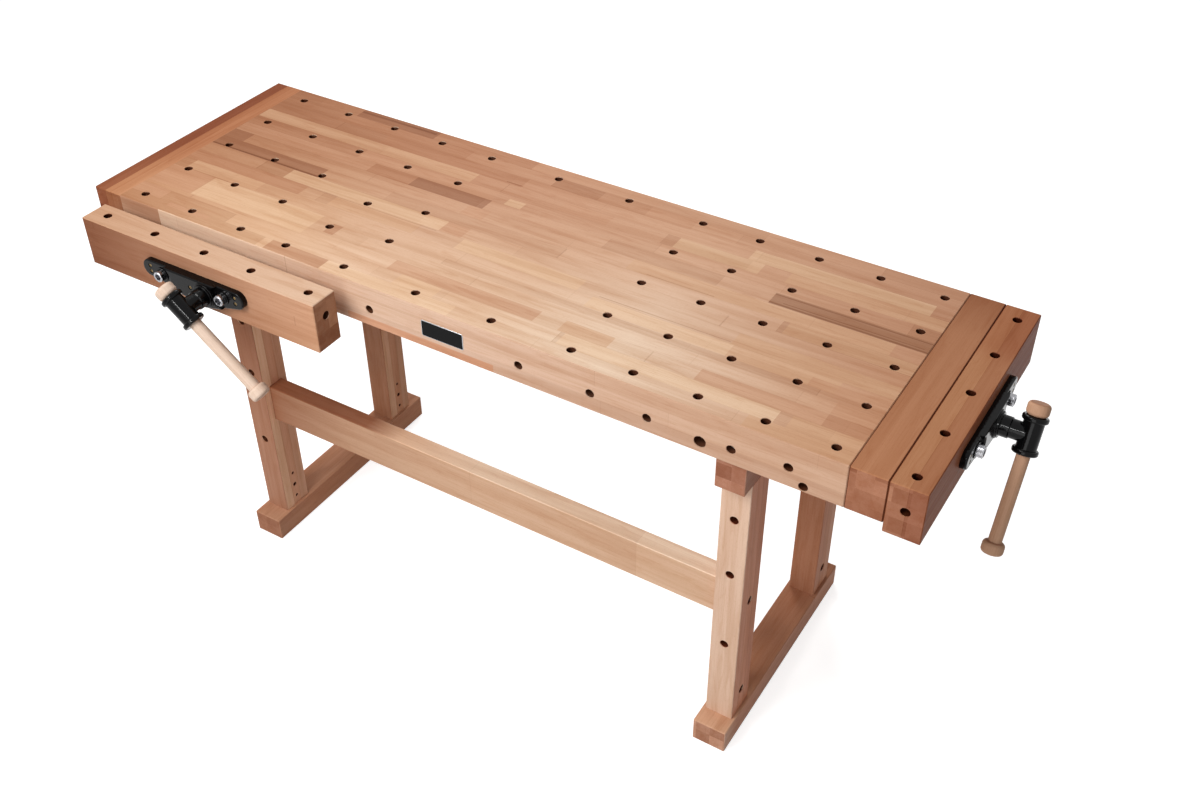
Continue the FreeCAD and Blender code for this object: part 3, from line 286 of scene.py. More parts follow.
class Timber(Tree):
    """Oiled beech. Its u, v and w run along X, Y and Z in mm from a corner."""

    def __init__(self, name, along, corner=None):
        super().__init__(name, Specular_IOR_Level=0.04)
        self.along = along
        if corner is not None:
            self.u, self.v, self.w = [
                (self.dot(self.place(), axis) - axis.dot(corner)) / MM for axis in (X, Y, Z)
            ]

    def tint(self, colour, amount, shade):
        """A colour darkened by a shade where the amount is 1, and as it is where it is 0."""
        return self.mix(amount, colour, shade, "MULTIPLY")

    def strips(self, amount, length, stops):
        """A tone for each strip, which begins at its distance in mm."""
        return self.ramp(amount / length, [(start / length, tone) for start, tone in stops], True)

    def fade(self, amount, length, stops):
        """Tones that pass into each other over a length in mm."""
        return self.ramp(amount / length, [(start / length, tone) for start, tone in stops])

    def line(self, colour, amount, middle, width, shade=SEAM, strength=0.5):
        """A thin dark line at a distance in mm."""
        inside = amount.between(middle - width / 2, middle + width / 2)
        return self.tint(colour, inside * strength, shade)

    def staves(self, colour, run, row, length, lightest, darkest, layer=0.0):
        """Finger-jointed staves of about one length, each with a tone of its own.

        Each row starts at a random place and has staves of 0.75 to 1.25 of the length, which a
        wave along the row makes uneven.
        """
        start = self.chance(row, layer, START_DRAW)
        pace = self.chance(row, layer, PACE_DRAW)
        steps = (run + start * 9 * length) / (pace * 0.5 * length + 0.75 * length)
        uneven = steps + (steps * 2.1 + start * 20).sine() * 0.3
        tone = self.chance(row, layer, uneven.floor())
        joint = (uneven.fraction() - 0.5).size().above(0.5 - 0.5 / length)
        middle = tuple((light * 3 + dark) / 4 for light, dark in zip(lightest, darkest))
        shades = self.ramp(tone, [(0.0, lightest), (0.7, middle), (1.0, darkest)])
        return self.tint(self.tint(colour, 1.0, shades), joint * 0.3, SEAM)

    def seams(self, colour, rows, pitch, strength=0.3):
        """The glue lines between rows of staves."""
        at_seam = (rows.fraction() - 0.5).size().above(0.5 - 0.3 / pitch)
        return self.tint(colour, at_seam * strength, SEAM)

    def patch(self, colour, tone, left, right, front, back, strength=0.6):
        """One stave, or part of one, seen from above, with a tone of its own."""
        inside = self.u.between(left, right) * self.v.between(front, back)
        return self.mix(inside * strength, colour, tone)

    def buried(self, low, high, skin=1.8):
        """1 on the walls of holes, which lie deeper than the skin of the wood's box, where shade is
        painted.
        """
        inside = None
        for axis in (X, Y, Z):
            start, end = axis.dot(low) + skin * MM, axis.dot(high) - skin * MM
            part = self.dot(self.place(), axis).between(start, end)
            inside = part if inside is None else inside * part
        return inside

    def finish(self, colour, boxes=(), end=(0.88, 0.82, 0.79), depth=0.00012, figure=1.0):
        """Fine lines, flecks, broad figure, end grain and painted shade on hole walls over the tones.
        """
        lines = self.drawn_noise(self.along, 7, 430, 3, 0.6)
        flecks = self.drawn_noise(self.along, 130, 1500, 1)
        broad = self.drawn_noise(self.along, 2.2, 38, 2, distortion=0.4)
        swirls = self.drawn_noise(self.along, 9, 75, 2, distortion=1.2)
        shaded = self.tint(colour, self.smooth(broad, 0.38, 0.68) * figure, BROAD_SHADE)
        shaded = self.tint(shaded, self.smooth(swirls, 0.48, 0.72) * figure * 0.6, SWIRL_SHADE)
        lined = self.tint(shaded, self.smooth(lines, 0.45, 0.75) * 0.8, LINE_SHADE)
        flecked = self.tint(lined, self.smooth(flecks, 0.58, 0.72) * 0.5, FLECK_SHADE)
        at_end = self.dot(self.facing(), self.along).size().above(0.8)
        ended = self.tint(flecked, at_end, end)
        place = self.place()
        cells = [(self.dot(place, side) / END_BLOCK).floor() for side in across(self.along)]
        blocks = self.chance(*cells, BLOCK_DRAW)
        ended = self.tint(ended, at_end * blocks * figure, BLOCK_SHADE)
        # Painted shade on the walls of the holes.
        for low, high in boxes:
            ended = self.tint(ended, self.buried(low, high), HOLE_SHADE)
        self.colour(ended)
        self.roughness(self.smooth(lines, 0.2, 0.8, 0.40, 0.56))
        self.bump(lines, depth, 0.5)
        return self.material


# --- the worktop's wood -----------------------------------------------------------------------

# The lowest corner of the left cap, at the front: u, v and w of the whole top start there.
BENCH = Vector(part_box("left_end_cap")[0])
TOP_LENGTH = 1873
TOP_DEPTH = 600
CAP_WIDTH = 77
APRON_STAVE = 36.3
PANEL_START = 165
PANEL_STAVE = 39.7
TOP_STAVE = 330
# The panel's rows are numbered from here, so that they share no random draw with the apron's.
PANEL_FIRST_ROW = 20
EDGE_LAYER = 32
EDGE_STAVE = 600
EDGE_DRAW = 5.0
# Tones along the worktop by their distance from its left end: at its front, at its back, and on
# its front edge. They hold painted light: the paler front middle is partly a painted sheen, the
# darker back and left are partly a painted falloff of the light, and the front edge is painted
# paler at its left, against the light's falloff there.
TOP_FRONT = [
    (85, srgb(190, 142, 108)),
    (450, srgb(214, 176, 144)),
    (700, srgb(222, 189, 162)),
    (1000, srgb(219, 186, 158)),
    (1300, srgb(230, 206, 183)),
    (1800, srgb(197, 149, 117)),
]
TOP_BACK = [
    (85, srgb(163, 113, 83)),
    (700, srgb(190, 142, 112)),
    (1250, srgb(206, 163, 134)),
    (1800, srgb(194, 148, 120)),
]
FRONT_EDGE = [(100, srgb(234, 206, 180)), (900, srgb(220, 188, 166)), (1870, srgb(208, 170, 144))]
TOP_BOXES = [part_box(name) for name in ("front_apron", "top_panel", "rear_apron")]

# Staves whose tones stand out: tone, left and right end, front and back edge, in mm.
WORKTOP_STAVES = [
    (PALE, 204, 519, 86, 165),
    (ROSE, 78, 201, 86, 165),
    (PALE, 1170, 1480, 167, 205),
    (TAN, 1480, 1700, 165, 205),
    (PALE, 819, 861, 404, 430),
    (TAN, 111, 315, 168, 205),
    (BROWN, 78, 408, 205, 245),
    (ROSE, 762, 819, 245, 284),
    (DARK, 78, 396, 285, 324),
    (TAN, 1540, 1800, 285, 324),
    (PALE, 330, 762, 245, 284),
    (TAN, 490, 720, 205, 245),
    (PALE, 830, 1130, 205, 245),
    (DARK, 78, 137, 324, 364),
    (ROSE, 759, 816, 324, 364),
    (ROSE, 78, 470, 364, 403),
    (BROWN, 470, 590, 364, 403),
    (DARK, 590, 790, 364, 403),
    (ROSE, 414, 786, 403, 443),
    (TAN, 78, 700, 443, 483),
    (BROWN, 414, 810, 483, 522),
    (PALE, 1370, 1760, 483, 522),
    (BROWN, 255, 510, 522, 562),
    (DARK, 282, 510, 562, 602),
    (BROWN, 510, 786, 562, 602),
    (ROSE, 786, 1110, 562, 602),
    (BROWN, 510, 630, 522, 562),
    (BROWN, 557, 583, 114, 151),
    (ROSE, 759, 1113, 73, 109),
    (TAN, 1170, 1279, 73, 109),
    (ROSE, 1464, 1716, 73, 109),
    (BROWN, 1716, 1800, 73, 109),
    (ROSE, 195, 312, 22, 36),
    (ROSE, 75, 162, 36, 73),
    (BROWN, 490, 640, 0, 36),
    (CREAM, 640, 960, 0, 36),
    (CREAM, 1190, 1640, 36, 73),
    (PALE, 800, 900, 36, 73),
    (ROSE, 1647, 1800, 165, 192),
    (ROSE, 1716, 1800, 109, 150),
    (TAN, 1665, 1800, 36, 73),
    (TAN, 1596, 1800, 0, 36),
    (GREY, 1473, 1800, 364, 403),
    (TAN, 1173, 1506, 324, 364),
    (TAN, 1506, 1740, 324, 364),
    (PALE, 1215, 1410, 443, 483),
    (TAN, 1470, 1800, 443, 483),
    (ROSE, 930, 1053, 443, 483),
    (ROSE, 984, 1215, 522, 562),
    (TAN, 1473, 1800, 205, 245),
]
# Dark lines along the grain: left and right end, distance from the front edge, width, in mm.
WORKTOP_LINES = [
    (78, 396, 287, 2.5),
    (78, 396, 289, 5.0),
    (1473, 1800, 368, 5.0),
    (1500, 1790, 376, 2.0),
    (1473, 1800, 398, 3.0),
    (408, 759, 241, 1.6),
    (1221, 1374, 327, 1.6),
    (770, 812, 489, 3.0),
    (282, 504, 586, 8.0),
    (1180, 1470, 211, 1.6),
]


def worktop_wood():
    """The staves of the top as seen from above, and the layers of its front and rear edges."""
    wood = Timber("worktop_beech", X, BENCH)
    above = worktop_staves(wood)
    edge = worktop_edge(wood)
    at_edge = wood.dot(wood.facing(), Y).size().above(0.5)
    return wood.finish(wood.mix(at_edge, above, edge), TOP_BOXES)


def worktop_staves(wood):
    """Rows of staves in the front apron and in the panel behind it, with the ones that stand out."""
    # Painted light: a sheen at the front middle and a falloff towards the back and left.
    front, back = [wood.fade(wood.u, TOP_LENGTH, stops) for stops in (TOP_FRONT, TOP_BACK)]
    base = wood.mix(wood.smooth(wood.v, 0, 520), front, back)
    aprons = wood.v.below(PANEL_START)
    panel_rows = (wood.v - PANEL_START) / PANEL_STAVE + PANEL_FIRST_ROW
    apron_rows = wood.v / APRON_STAVE
    rows = apron_rows * aprons + panel_rows * (1 - aprons)
    lightest, darkest = (1.03, 1.02, 1.01), (0.82, 0.74, 0.68)
    colour = wood.staves(base, wood.u, rows.floor(), TOP_STAVE, lightest, darkest)
    for tone, left, right, near_edge, far_edge in WORKTOP_STAVES:
        colour = wood.patch(colour, tone, left, right, near_edge, far_edge)
    for left, right, place, width in WORKTOP_LINES:
        dark = wood.u.between(left, right) * wood.v.between(place - width / 2, place + width / 2)
        colour = wood.tint(colour, dark * 0.6, SEAM)
    return wood.seams(colour, rows, PANEL_STAVE)


def worktop_edge(wood):
    """Layers of long staves, the lowest a little darker and partly redder."""
    layers = wood.w / EDGE_LAYER
    # Painted light: the edge is paler at its left, against the light's falloff there.
    tones = wood.fade(wood.u, TOP_LENGTH, FRONT_EDGE)
    darkest = (0.95, 0.92, 0.90)
    edge = wood.staves(tones, wood.u, layers.floor(), EDGE_STAVE, EVEN, darkest, EDGE_DRAW)
    edge = wood.tint(edge, wood.w.below(EDGE_LAYER), (0.90, 0.87, 0.86))
    edge = wood.seams(edge, layers, EDGE_LAYER, 0.2)
    red_strip = wood.u.between(708, 1068) * wood.w.below(19)
    edge = wood.mix(red_strip * 0.6, edge, srgb(204, 140, 102))
    first_stave = wood.u.between(CAP_WIDTH, 192)
    edge = wood.mix(first_stave * 0.8, edge, BROWN)
    butt_joint = 552
    return wood.line(edge, wood.u, butt_joint, 1.6)


# --- the other woods --------------------------------------------------------------------------


def left_cap_wood():
    """A dark stave outside two lighter ones, all darker towards the back, partly a painted falloff of
    the light.
    """
    wood = Timber("left_end_cap_beech", Y, BENCH)
    outer = 32
    stops = [(0, srgb(148, 90, 62)), (outer, srgb(182, 126, 90)), (51, srgb(192, 138, 102))]
    tones = wood.strips(wood.u, CAP_WIDTH, stops)
    # Darker towards the back: partly a painted falloff of the light.
    tones = wood.tint(tones, wood.smooth(wood.v, 60, 280), (0.84, 0.73, 0.68))
    return wood.finish(wood.line(tones, wood.u, outer, GLUE_LINE), [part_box("left_end_cap")])


def right_cap_wood():
    """A cap that darkens towards the back, partly a painted falloff of the light, with painted shade
    in the gaps at the panel and at the jaw.
    """
    wood = Timber("right_end_cap_beech", Y, BENCH)
    # Darker towards the back: partly a painted falloff of the light.
    stops = [(0, srgb(182, 128, 94)), (450, srgb(172, 119, 87)), (TOP_DEPTH, srgb(152, 98, 68))]
    tones = wood.fade(wood.v, TOP_DEPTH, stops)
    # Painted shade: a dark line stands in for the shadow in each gap beside the cap.
    for gap in (1801.5, 1872):
        tones = wood.line(tones, wood.u, gap, 2.8, GAP_SHADE, 0.9)
    return wood.finish(tones, [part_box("right_end_cap")], end=(1.0, 1.02, 1.2))


def end_jaw_wood():
    """Two staves side by side, darker towards the back, partly a painted falloff of the light, and
    darker on the outer face, where shade is painted.
    """
    low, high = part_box("end_jaw")
    wood = Timber("end_jaw_beech", Y, low)
    half = 35
    tones = wood.strips(wood.u, 2 * half, [(0, srgb(182, 130, 95)), (half, srgb(170, 116, 84))])
    # Darker towards the back: partly a painted falloff of the light.
    tones = wood.tint(tones, wood.smooth(wood.v, 380, 470), (0.86, 0.74, 0.70))
    # Painted shade on the outer face, which turns away from the light.
    shaded_side = wood.dot(wood.facing(), X).size().above(0.5)
    tones = wood.tint(tones, shaded_side, (0.68, 0.52, 0.47))
    tones = wood.line(tones, wood.u, half, GLUE_LINE)
    return wood.finish(tones, [(low, high)], end=(1.0, 1.0, 1.2))


def front_jaw_wood():
    """Long staves that grow paler to the right, the darker left being painted shade, and palest on
    top, a painted light on the upward face.
    """
    low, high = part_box("front_jaw")
    wood = Timber("front_jaw_beech", X, low)
    length = (high.x - low.x) / MM
    # Painted shade: darker towards the left end.
    tones = wood.fade(wood.u, length, [(0, srgb(130, 82, 58)), (length, srgb(202, 156, 126))])
    row, stave = 24, 900
    rows = (wood.w / row).floor()
    tones = wood.staves(tones, wood.u, rows, stave, EVEN, (0.96, 0.94, 0.92))
    # Painted light: the upward face gets a paler copy of the tones.
    above = wood.dot(wood.facing(), Z).above(0.5)
    top = wood.fade(wood.u, length, [(0, srgb(196, 154, 124)), (length, srgb(214, 180, 154))])
    tones = wood.mix(above, tones, top)
    return wood.finish(tones, [(low, high)])


def leg_wood(name, front, sides, shaded=0.0):
    """A leg glued up from three staves, which show on its sides; shaded sets how much painted shadow
    darkens its upper front.
    """
    low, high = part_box(name)
    wood = Timber(f"{name}_beech", Z, low)
    deep = (high.y - low.y) / MM
    third = deep / 3
    strips = wood.strips(wood.v, deep, [(third * number, tone) for number, tone in enumerate(sides)])
    for step in (third, 2 * third):
        strips = wood.line(strips, wood.v, step, GLUE_LINE)
    ahead = wood.dot(wood.facing(), Y).size().above(0.5)
    # Painted shadow on the upper front, under the worktop and front jaw.
    upper = wood.smooth(wood.w, 240, 600) * shaded
    face = wood.mix(ahead, strips, front)
    return wood.finish(wood.tint(face, ahead * upper, (0.62, 0.52, 0.46)), [(low, high)])


def rail_wood(name, along, faces, above, block):
    """A foot, bearer or stretcher, glued up from staves that show as blocks on its ends.

    The tones of its faces and of its top are given at shares of its length.
    """
    low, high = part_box(name)
    wood = Timber(f"{name}_beech", along, low)
    run, side = (wood.u, wood.v) if along is X else (wood.v, wood.u)
    rows = side / block
    length = along.dot(high - low) / MM
    upwards = wood.dot(wood.facing(), Z).above(0.5)
    tones = wood.mix(upwards, wood.ramp(run / length, faces), wood.ramp(run / length, above))
    stave = 700
    colour = wood.staves(tones, run, rows.floor(), stave, EVEN, (0.90, 0.85, 0.82))
    return wood.finish(wood.seams(colour, rows, block, 0.25), [(low, high)])


def turned_wood(name, along, tone):
    """One piece of pale wood with its grain along a handle."""
    wood = Timber(name, along)
    figure = wood.drawn_noise(along, 2.2, 42, 2, distortion=0.4)
    tones = wood.ramp(figure, [(0.3, tone), (0.75, tuple(part * 0.86 for part in tone))])
    return wood.finish(tones, depth=0.00006, figure=0.4)


# --- metal and paint --------------------------------------------------------------------------


def enamel():
    """Glossy black enamel over a sand casting."""
    tree = Tree("black_enamel", Specular_IOR_Level=0.14)
    skin = tree.even_noise(260)
    worn = tree.even_noise(60, 3)
    tree.colour(tree.ramp(worn, [(0.3, srgb(5, 5, 6)), (0.8, srgb(12, 11, 12))]))
    tree.roughness(tree.smooth(skin, 0.3, 0.7, 0.05, 0.14))
    tree.bump(skin, 0.0004, 0.35)
    return tree.material


def metal(name, colour, rough, scratches, along=Z):
    """Bare or plated metal with fine marks along one direction."""
    tree = Tree(name, Metallic=1.0)
    marks = tree.drawn_noise(along, 40, scratches, 3, 0.6)
    darker = tuple(part * 0.78 for part in colour)
    tree.colour(tree.ramp(marks, [(0.35, darker), (0.65, colour)]))
    tree.roughness(tree.smooth(marks, 0.3, 0.7, rough, rough + 0.14))
    tree.bump(marks, 0.00003, 0.4)
    return tree.material


def plate_paint(name, colour, rough):
    """Matt paint with fine specks."""
    tree = Tree(name, Specular_IOR_Level=0.06)
    specks = tree.even_noise(900)
    tree.colour(tree.ramp(specks, [(0.3, colour), (0.8, tuple(part * 1.25 for part in colour))]))
    tree.roughness(tree.smooth(specks, 0.3, 0.7, rough, rough + 0.1))
    tree.bump(specks, 0.00002, 0.3)
    return tree.material


# --- pieces with finer detail than the solids ---------------------------------------------------


def loft(mesh, rings):
    """A skin over rings of points, closed at both ends."""
    made = [[mesh.verts.new(point) for point in points] for points in rings]
    for lower, upper in zip(made, made[1:]):
        for index in range(len(lower)):
            after = (index + 1) % len(lower)
            mesh.faces.new((lower[index], lower[after], upper[after], upper[index]))
    mesh.faces.new(list(reversed(made[0])))
    mesh.faces.new(made[-1])


def ring(height, radius, count=72):
    """Points round the z axis; the radius may be a function of the angle."""
    points = []
    for step in range(count):
        angle = step * 2 * math.pi / count
        reach = radius(angle) if callable(radius) else radius
        points.append(Vector((reach * math.cos(angle), reach * math.sin(angle), height)))
    return points


def rounded(half_width, half_height, corner, height, steps=6):
    """A rectangle with round corners."""
    points = []
    for quarter, (right, up) in enumerate(((1, 1), (-1, 1), (-1, -1), (1, -1))):
        middle = Vector((right * (half_width - corner), up * (half_height - corner), height))
        for step in range(steps + 1):
            angle = (quarter + step / steps) * math.pi / 2
            points.append(middle + Vector((math.cos(angle), math.sin(angle), 0)) * corner)
    return points


def piece(name, mesh, matrix, material, body, smooth=35):
    """A named object from a bmesh, placed by a matrix, that moves with a body."""
    bmesh.ops.recalc_face_normals(mesh, faces=mesh.faces)
    mesh.transform(matrix)
    data = bpy.data.meshes.new(name)
    mesh.to_mesh(data)
    mesh.free()
    data.materials.append(material)
    data.shade_smooth()
    data.set_sharp_from_angle(angle=math.radians(smooth))
    made = bpy.data.objects.new(name, data)
    bpy.context.collection.objects.link(made)
    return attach(made, body)


def solids(node):
    """The box of each separate solid of a CAD node."""
    mesh = bmesh.new()
    mesh.from_mesh(frame["nodes"][node].data)
    bmesh.ops.remove_doubles(mesh, verts=mesh.verts, dist=1e-6)
    boxes, seen = [], set()
    for start in mesh.verts:
        if start in seen:
            continue
        found, waiting = [], [start]
        seen.add(start)
        while waiting:
            vertex = waiting.pop()
            found.append(vertex.co.copy())
            for edge in vertex.link_edges:
                other = edge.other_vert(vertex)
                if other not in seen:
                    seen.add(other)
                    waiting.append(other)
        low = Vector([min(point[axis] for point in found) for axis in range(3)])
        high = Vector([max(point[axis] for point in found) for axis in range(3)])
        boxes.append((low, high))
    mesh.free()
    return boxes


def facing_out(out, box):
    """The placing of a piece whose z axis points out of the vise, and its reach along that axis."""
    low, high = box
    middle = (low + high) / 2
    ends = sorted((out.dot(low), out.dot(high)))
    origin = middle - out * out.dot(middle)
    turn = Matrix((Z.cross(out), Z, out)).transposed().to_4x4()
    return Matrix.Translation(origin) @ turn, ends


def spindle(name, out, box, thread_end, material, body):
    """A screw with a single-start thread up to the jaw, and a plain shank from there."""
    placing, (inner, outer) = facing_out(out, box)
    crest, root, pitch, count = 12.0 * MM, 9.6 * MM, 5.0 * MM, 36
    # The thread's section over one pitch: the root, a flank, the crest, and a flank back down.
    profile = ((0.0, root), (0.28, root), (0.46, crest), (0.82, crest))
    start, end = inner + 3 * MM, thread_end
    mesh = bmesh.new()
    columns = []
    for step in range(int((end - start) / pitch - 1) * count):
        angle = step * 2 * math.pi / count
        column = []
        for share, radius in profile:
            height = start + pitch * (step / count + share)
            column.append(mesh.verts.new((radius * math.cos(angle), radius * math.sin(angle), height)))
        columns.append(column)
    for index in range(len(columns) - 1):
        here, there = columns[index], columns[index + 1]
        for row in range(3):
            mesh.faces.new((here[row], there[row], there[row + 1], here[row + 1]))
        if index + 1 + count < len(columns):
            above, beyond = columns[index + count], columns[index + count + 1]
            mesh.faces.new((here[3], there[3], beyond[0], above[0]))
    loft(mesh, [ring(inner, root - 1.2 * MM), ring(inner + 1.2 * MM, root), ring(end, root)])
    loft(mesh, [ring(end - pitch, root), ring(end - pitch * 0.5, crest), ring(outer, crest)])
    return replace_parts(piece(name, mesh, placing, material, body), name.removesuffix("_thread"))


def cap_screw(name, out, box, material, body):
    """A knurled cap screw with a hexagon socket."""
    placing, (inner, outer) = facing_out(out, box)
    shank, head, deep = 6 * MM, (box[1].z - box[0].z) / 2, 15 * MM
    flat, socket, knurls = 7 * MM, 9 * MM, 36

    def knurl(angle):
        return head - 0.35 * MM * (round(angle * knurls / math.pi) % 2)

    def hexagon(angle):
        return flat / math.cos(angle % (math.pi / 3) - math.pi / 6)

    mesh = bmesh.new()
    loft(mesh, [
        # the shank's eased tip, then the underside of the head
        ring(inner, shank - 0.8 * MM),
        ring(inner + 0.8 * MM, shank),
        ring(outer - deep, shank),
        ring(outer - deep, head - 0.6 * MM),
        # the knurled side and the round edge above it
        ring(outer - deep + 0.6 * MM, knurl),
        ring(outer - 1.6 * MM, knurl),
        ring(outer - 0.5 * MM, head - 0.8 * MM),
        ring(outer, head - 1.5 * MM),
        # the socket, from its eased rim to its drilled floor
        ring(outer, flat + 1.9 * MM),
        ring(outer - 0.7 * MM, hexagon),
        ring(outer - socket, hexagon),
        ring(outer - socket - 0.6 * MM, flat - 2 * MM),
    ])
    return piece(name, mesh, placing, material, body, 28)


def wood_screw(name, out, box, material, body):
    """A domed wood screw with a cross recess."""
    placing, (inner, outer) = facing_out(out, box)
    head, rise, count = (box[1].z - box[0].z) / 2, 3 * MM, 48
    slot, cross, recess = 1.1 * MM, 2.4 * MM, 0.9 * MM

    def dome(radius, angle):
        sideways = abs(radius * math.cos(angle))
        upwards = abs(radius * math.sin(angle))
        height = outer - rise * 0.75 * (radius / head) ** 2.4
        in_cross = min(sideways, upwards) < slot / 2 and radius < cross
        return height - (recess if in_cross else 0)

    rings = [
        ring(inner, 0.4 * MM, count),
        ring(inner + 4 * MM, 2.2 * MM, count),
        ring(outer - rise, 2.5 * MM, count),
        ring(outer - rise, head, count),
        ring(outer - rise * 0.8, head, count),
    ]
    for share in (1.0, 0.86, 0.72, 0.6, 0.545, 0.53, 0.42, 0.3, 0.18, 0.06):
        points = ring(0, head * share, count)
        for index, point in enumerate(points):
            point.z = dome(head * share, index * 2 * math.pi / count)
        rings.append(points)
    mesh = bmesh.new()
    loft(mesh, rings)
    return piece(name, mesh, placing, material, body, 40)


def nameplate(left, drop, width, height, material, face_material):
    """The bare black plate on the front edge, a thin metal plate with a raised field.

    It starts at a distance from the bench's left end and a drop below the worktop, in mm.
    """
    ease = 0.3 * MM
    placing = Matrix.Translation(
        (BENCH.x + (left + width / 2) * MM, BENCH.y, cad_high.z - (drop + height / 2) * MM)
    ) @ Matrix((X, Z, -Y)).transposed().to_4x4()
    for name, inset, start, end, skin in (
        ("nameplate", 0.0, 0.0, 1.0, material),
        ("nameplate_field", 1.4, 0.8, 1.4, face_material),
    ):
        wide, tall, corner = [(whole - inset) * MM for whole in (width / 2, height / 2, 4)]
        mesh = bmesh.new()
        loft(mesh, [
            rounded(wide, tall, corner, start * MM),
            rounded(wide, tall, corner, end * MM - ease),
            rounded(wide - ease, tall - ease, corner - ease, end * MM),
        ])
        piece(name, mesh, placing, skin, "bench")


# --- materials and pieces on the object ---------------------------------------------------------


# The end handle's darker tone is painted shade: it stands in shade by the end vise.
HANDLE_TONES = {"front": srgb(226, 202, 184), "end": srgb(200, 158, 130)}
# For each leg: the tone of its front, those of the three staves that show on its sides, and how
# much painted shadow darkens its upper front. The left front leg's darker front is painted shadow
# under the front jaw, too.
LEG_TONES = {
    "left_front": (
        srgb(172, 126, 102),
        (srgb(236, 192, 160), srgb(214, 160, 130), srgb(216, 168, 140)),
        1.0,
    ),
    "left_rear": (
        srgb(176, 126, 98),
        (srgb(228, 180, 148), srgb(208, 152, 120), srgb(206, 156, 126)),
        0.0,
    ),
    "right_front": (
        srgb(223, 190, 167),
        (srgb(218, 152, 122), srgb(218, 150, 118), srgb(208, 138, 106)),
        0.0,
    ),
    "right_rear": (
        srgb(180, 126, 98),
        (srgb(202, 138, 106), srgb(200, 136, 102), srgb(212, 154, 124)),
        0.0,
    ),
}
# For each rail: its grain, the tones of its faces and then those of its top, at shares of its
# length, and the width of its staves in mm.
RAILS = {
    "left_foot": (
        Y,
        [(0, srgb(186, 138, 112)), (0.2, srgb(196, 142, 112))],
        [(0, srgb(192, 146, 118)), (0.2, srgb(192, 144, 116))],
        31,
    ),
    "right_foot": (
        Y,
        [(0, srgb(222, 180, 156)), (0.1, srgb(204, 144, 114))],
        [(0, srgb(220, 176, 146)), (0.3, srgb(184, 134, 106)), (1, srgb(178, 126, 98))],
        31,
    ),
    "left_bearer": (Y, [(0, srgb(190, 140, 114))], [(0, srgb(190, 140, 114))], 31),
    "right_bearer": (
        Y,
        [(0, srgb(200, 152, 130)), (0.1, srgb(186, 126, 96))],
        [(0, srgb(190, 140, 114))],
        31,
    ),
    # Painted shadow: darker at its left end, on its front and most of all on its top, under the front
    # vise.
    "front_stretcher": (
        X,
        [(0, srgb(166, 118, 92)), (0.2, srgb(212, 174, 146)), (0.5, srgb(230, 196, 168))],
        [
            (0, srgb(146, 94, 68)),
            (0.24, srgb(166, 114, 88)),
            (0.32, srgb(244, 208, 178)),
            (0.5, srgb(250, 226, 202)),
        ],
        49,
    ),
    "rear_stretcher": (X, [(0, srgb(212, 170, 140))], [(0, srgb(212, 170, 140))], 49),
}


def paint(material, *names):
    for name in names:
        for slot in frame["nodes"][name].material_slots:
            slot.material = material


paint(worktop_wood(), "top_panel", "front_apron", "rear_apron")
paint(left_cap_wood(), "left_end_cap")
paint(right_cap_wood(), "right_end_cap")
paint(end_jaw_wood(), "end_jaw")
paint(front_jaw_wood(), "front_jaw")
for leg, tones in LEG_TONES.items():
    paint(leg_wood(f"{leg}_leg", *tones), f"{leg}_leg")
for rail, settings in RAILS.items():
    paint(rail_wood(rail, *settings), rail)
paint(turned_wood("dowel_beech", X, HANDLE_TONES["front"]), "stretcher_dowels")

black = enamel()
bright = metal("ground_steel", srgb(190, 190, 194), 0.22, 900, X)
zinc = metal("zinc_plate", srgb(178, 180, 184), 0.34, 700)
chrome = metal("bright_plate", srgb(176, 176, 180), 0.12, 500)
yellow = metal("yellow_plate", srgb(150, 128, 92), 0.34, 600)
bronze = metal("bearing_bronze", srgb(164, 124, 74), 0.35, 600)
plate_edge = metal("plate_aluminium", srgb(196, 198, 202), 0.30, 700, X)
plate_face = plate_paint("plate_black", srgb(12, 12, 13), 0.30)

for vise in ("front", "end"):
    jaw, screw, handle = f"{vise}_jaw", f"{vise}_screw", f"{vise}_handle"
    out = Vector(JOINTS[f"{vise}_jaw_slide"]["axis"]).normalized()
    thread_end = min(out.dot(corner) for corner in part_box(jaw)) - 6 * MM
    paint(black, f"{vise}_vise_plate", f"{vise}_vise_housing", f"{vise}_screw_head")
    paint(bright, f"{vise}_guide_rods", f"{vise}_screw", f"{vise}_screw_collar")
    paint(bronze, f"{vise}_guide_bushes", f"{vise}_vise_nut")
    paint(zinc, f"{vise}_housing_screws")
    spindle(f"{screw}_thread", out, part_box(screw), thread_end, bright, screw)
    for node, maker, material in (
        (f"{vise}_rod_screws", cap_screw, chrome),
        (f"{vise}_plate_screws", wood_screw, yellow),
    ):
        for number, box in enumerate(solids(node), 1):
            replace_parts(maker(f"{node}_{number}", out, box, material, jaw), node)
    bar_axis = Vector(JOINTS[f"{vise}_handle_slide"]["axis"]).normalized()
    handle_wood = turned_wood(f"{vise}_handle_beech", bar_axis, HANDLE_TONES[vise])
    paint(handle_wood, *[f"{handle}_{part}" for part in ("bar", "upper_knob", "lower_knob")])
paint(zinc, "end_cap_bolts", "end_cap_nuts", "stretcher_bolts", "stretcher_nuts")
paint(zinc, "bearer_bolts", "bearer_nuts")
nameplate(left=898.5, drop=30.0, width=101, height=38, material=plate_edge, face_material=plate_face)


# --- the studio -------------------------------------------------------------------------------


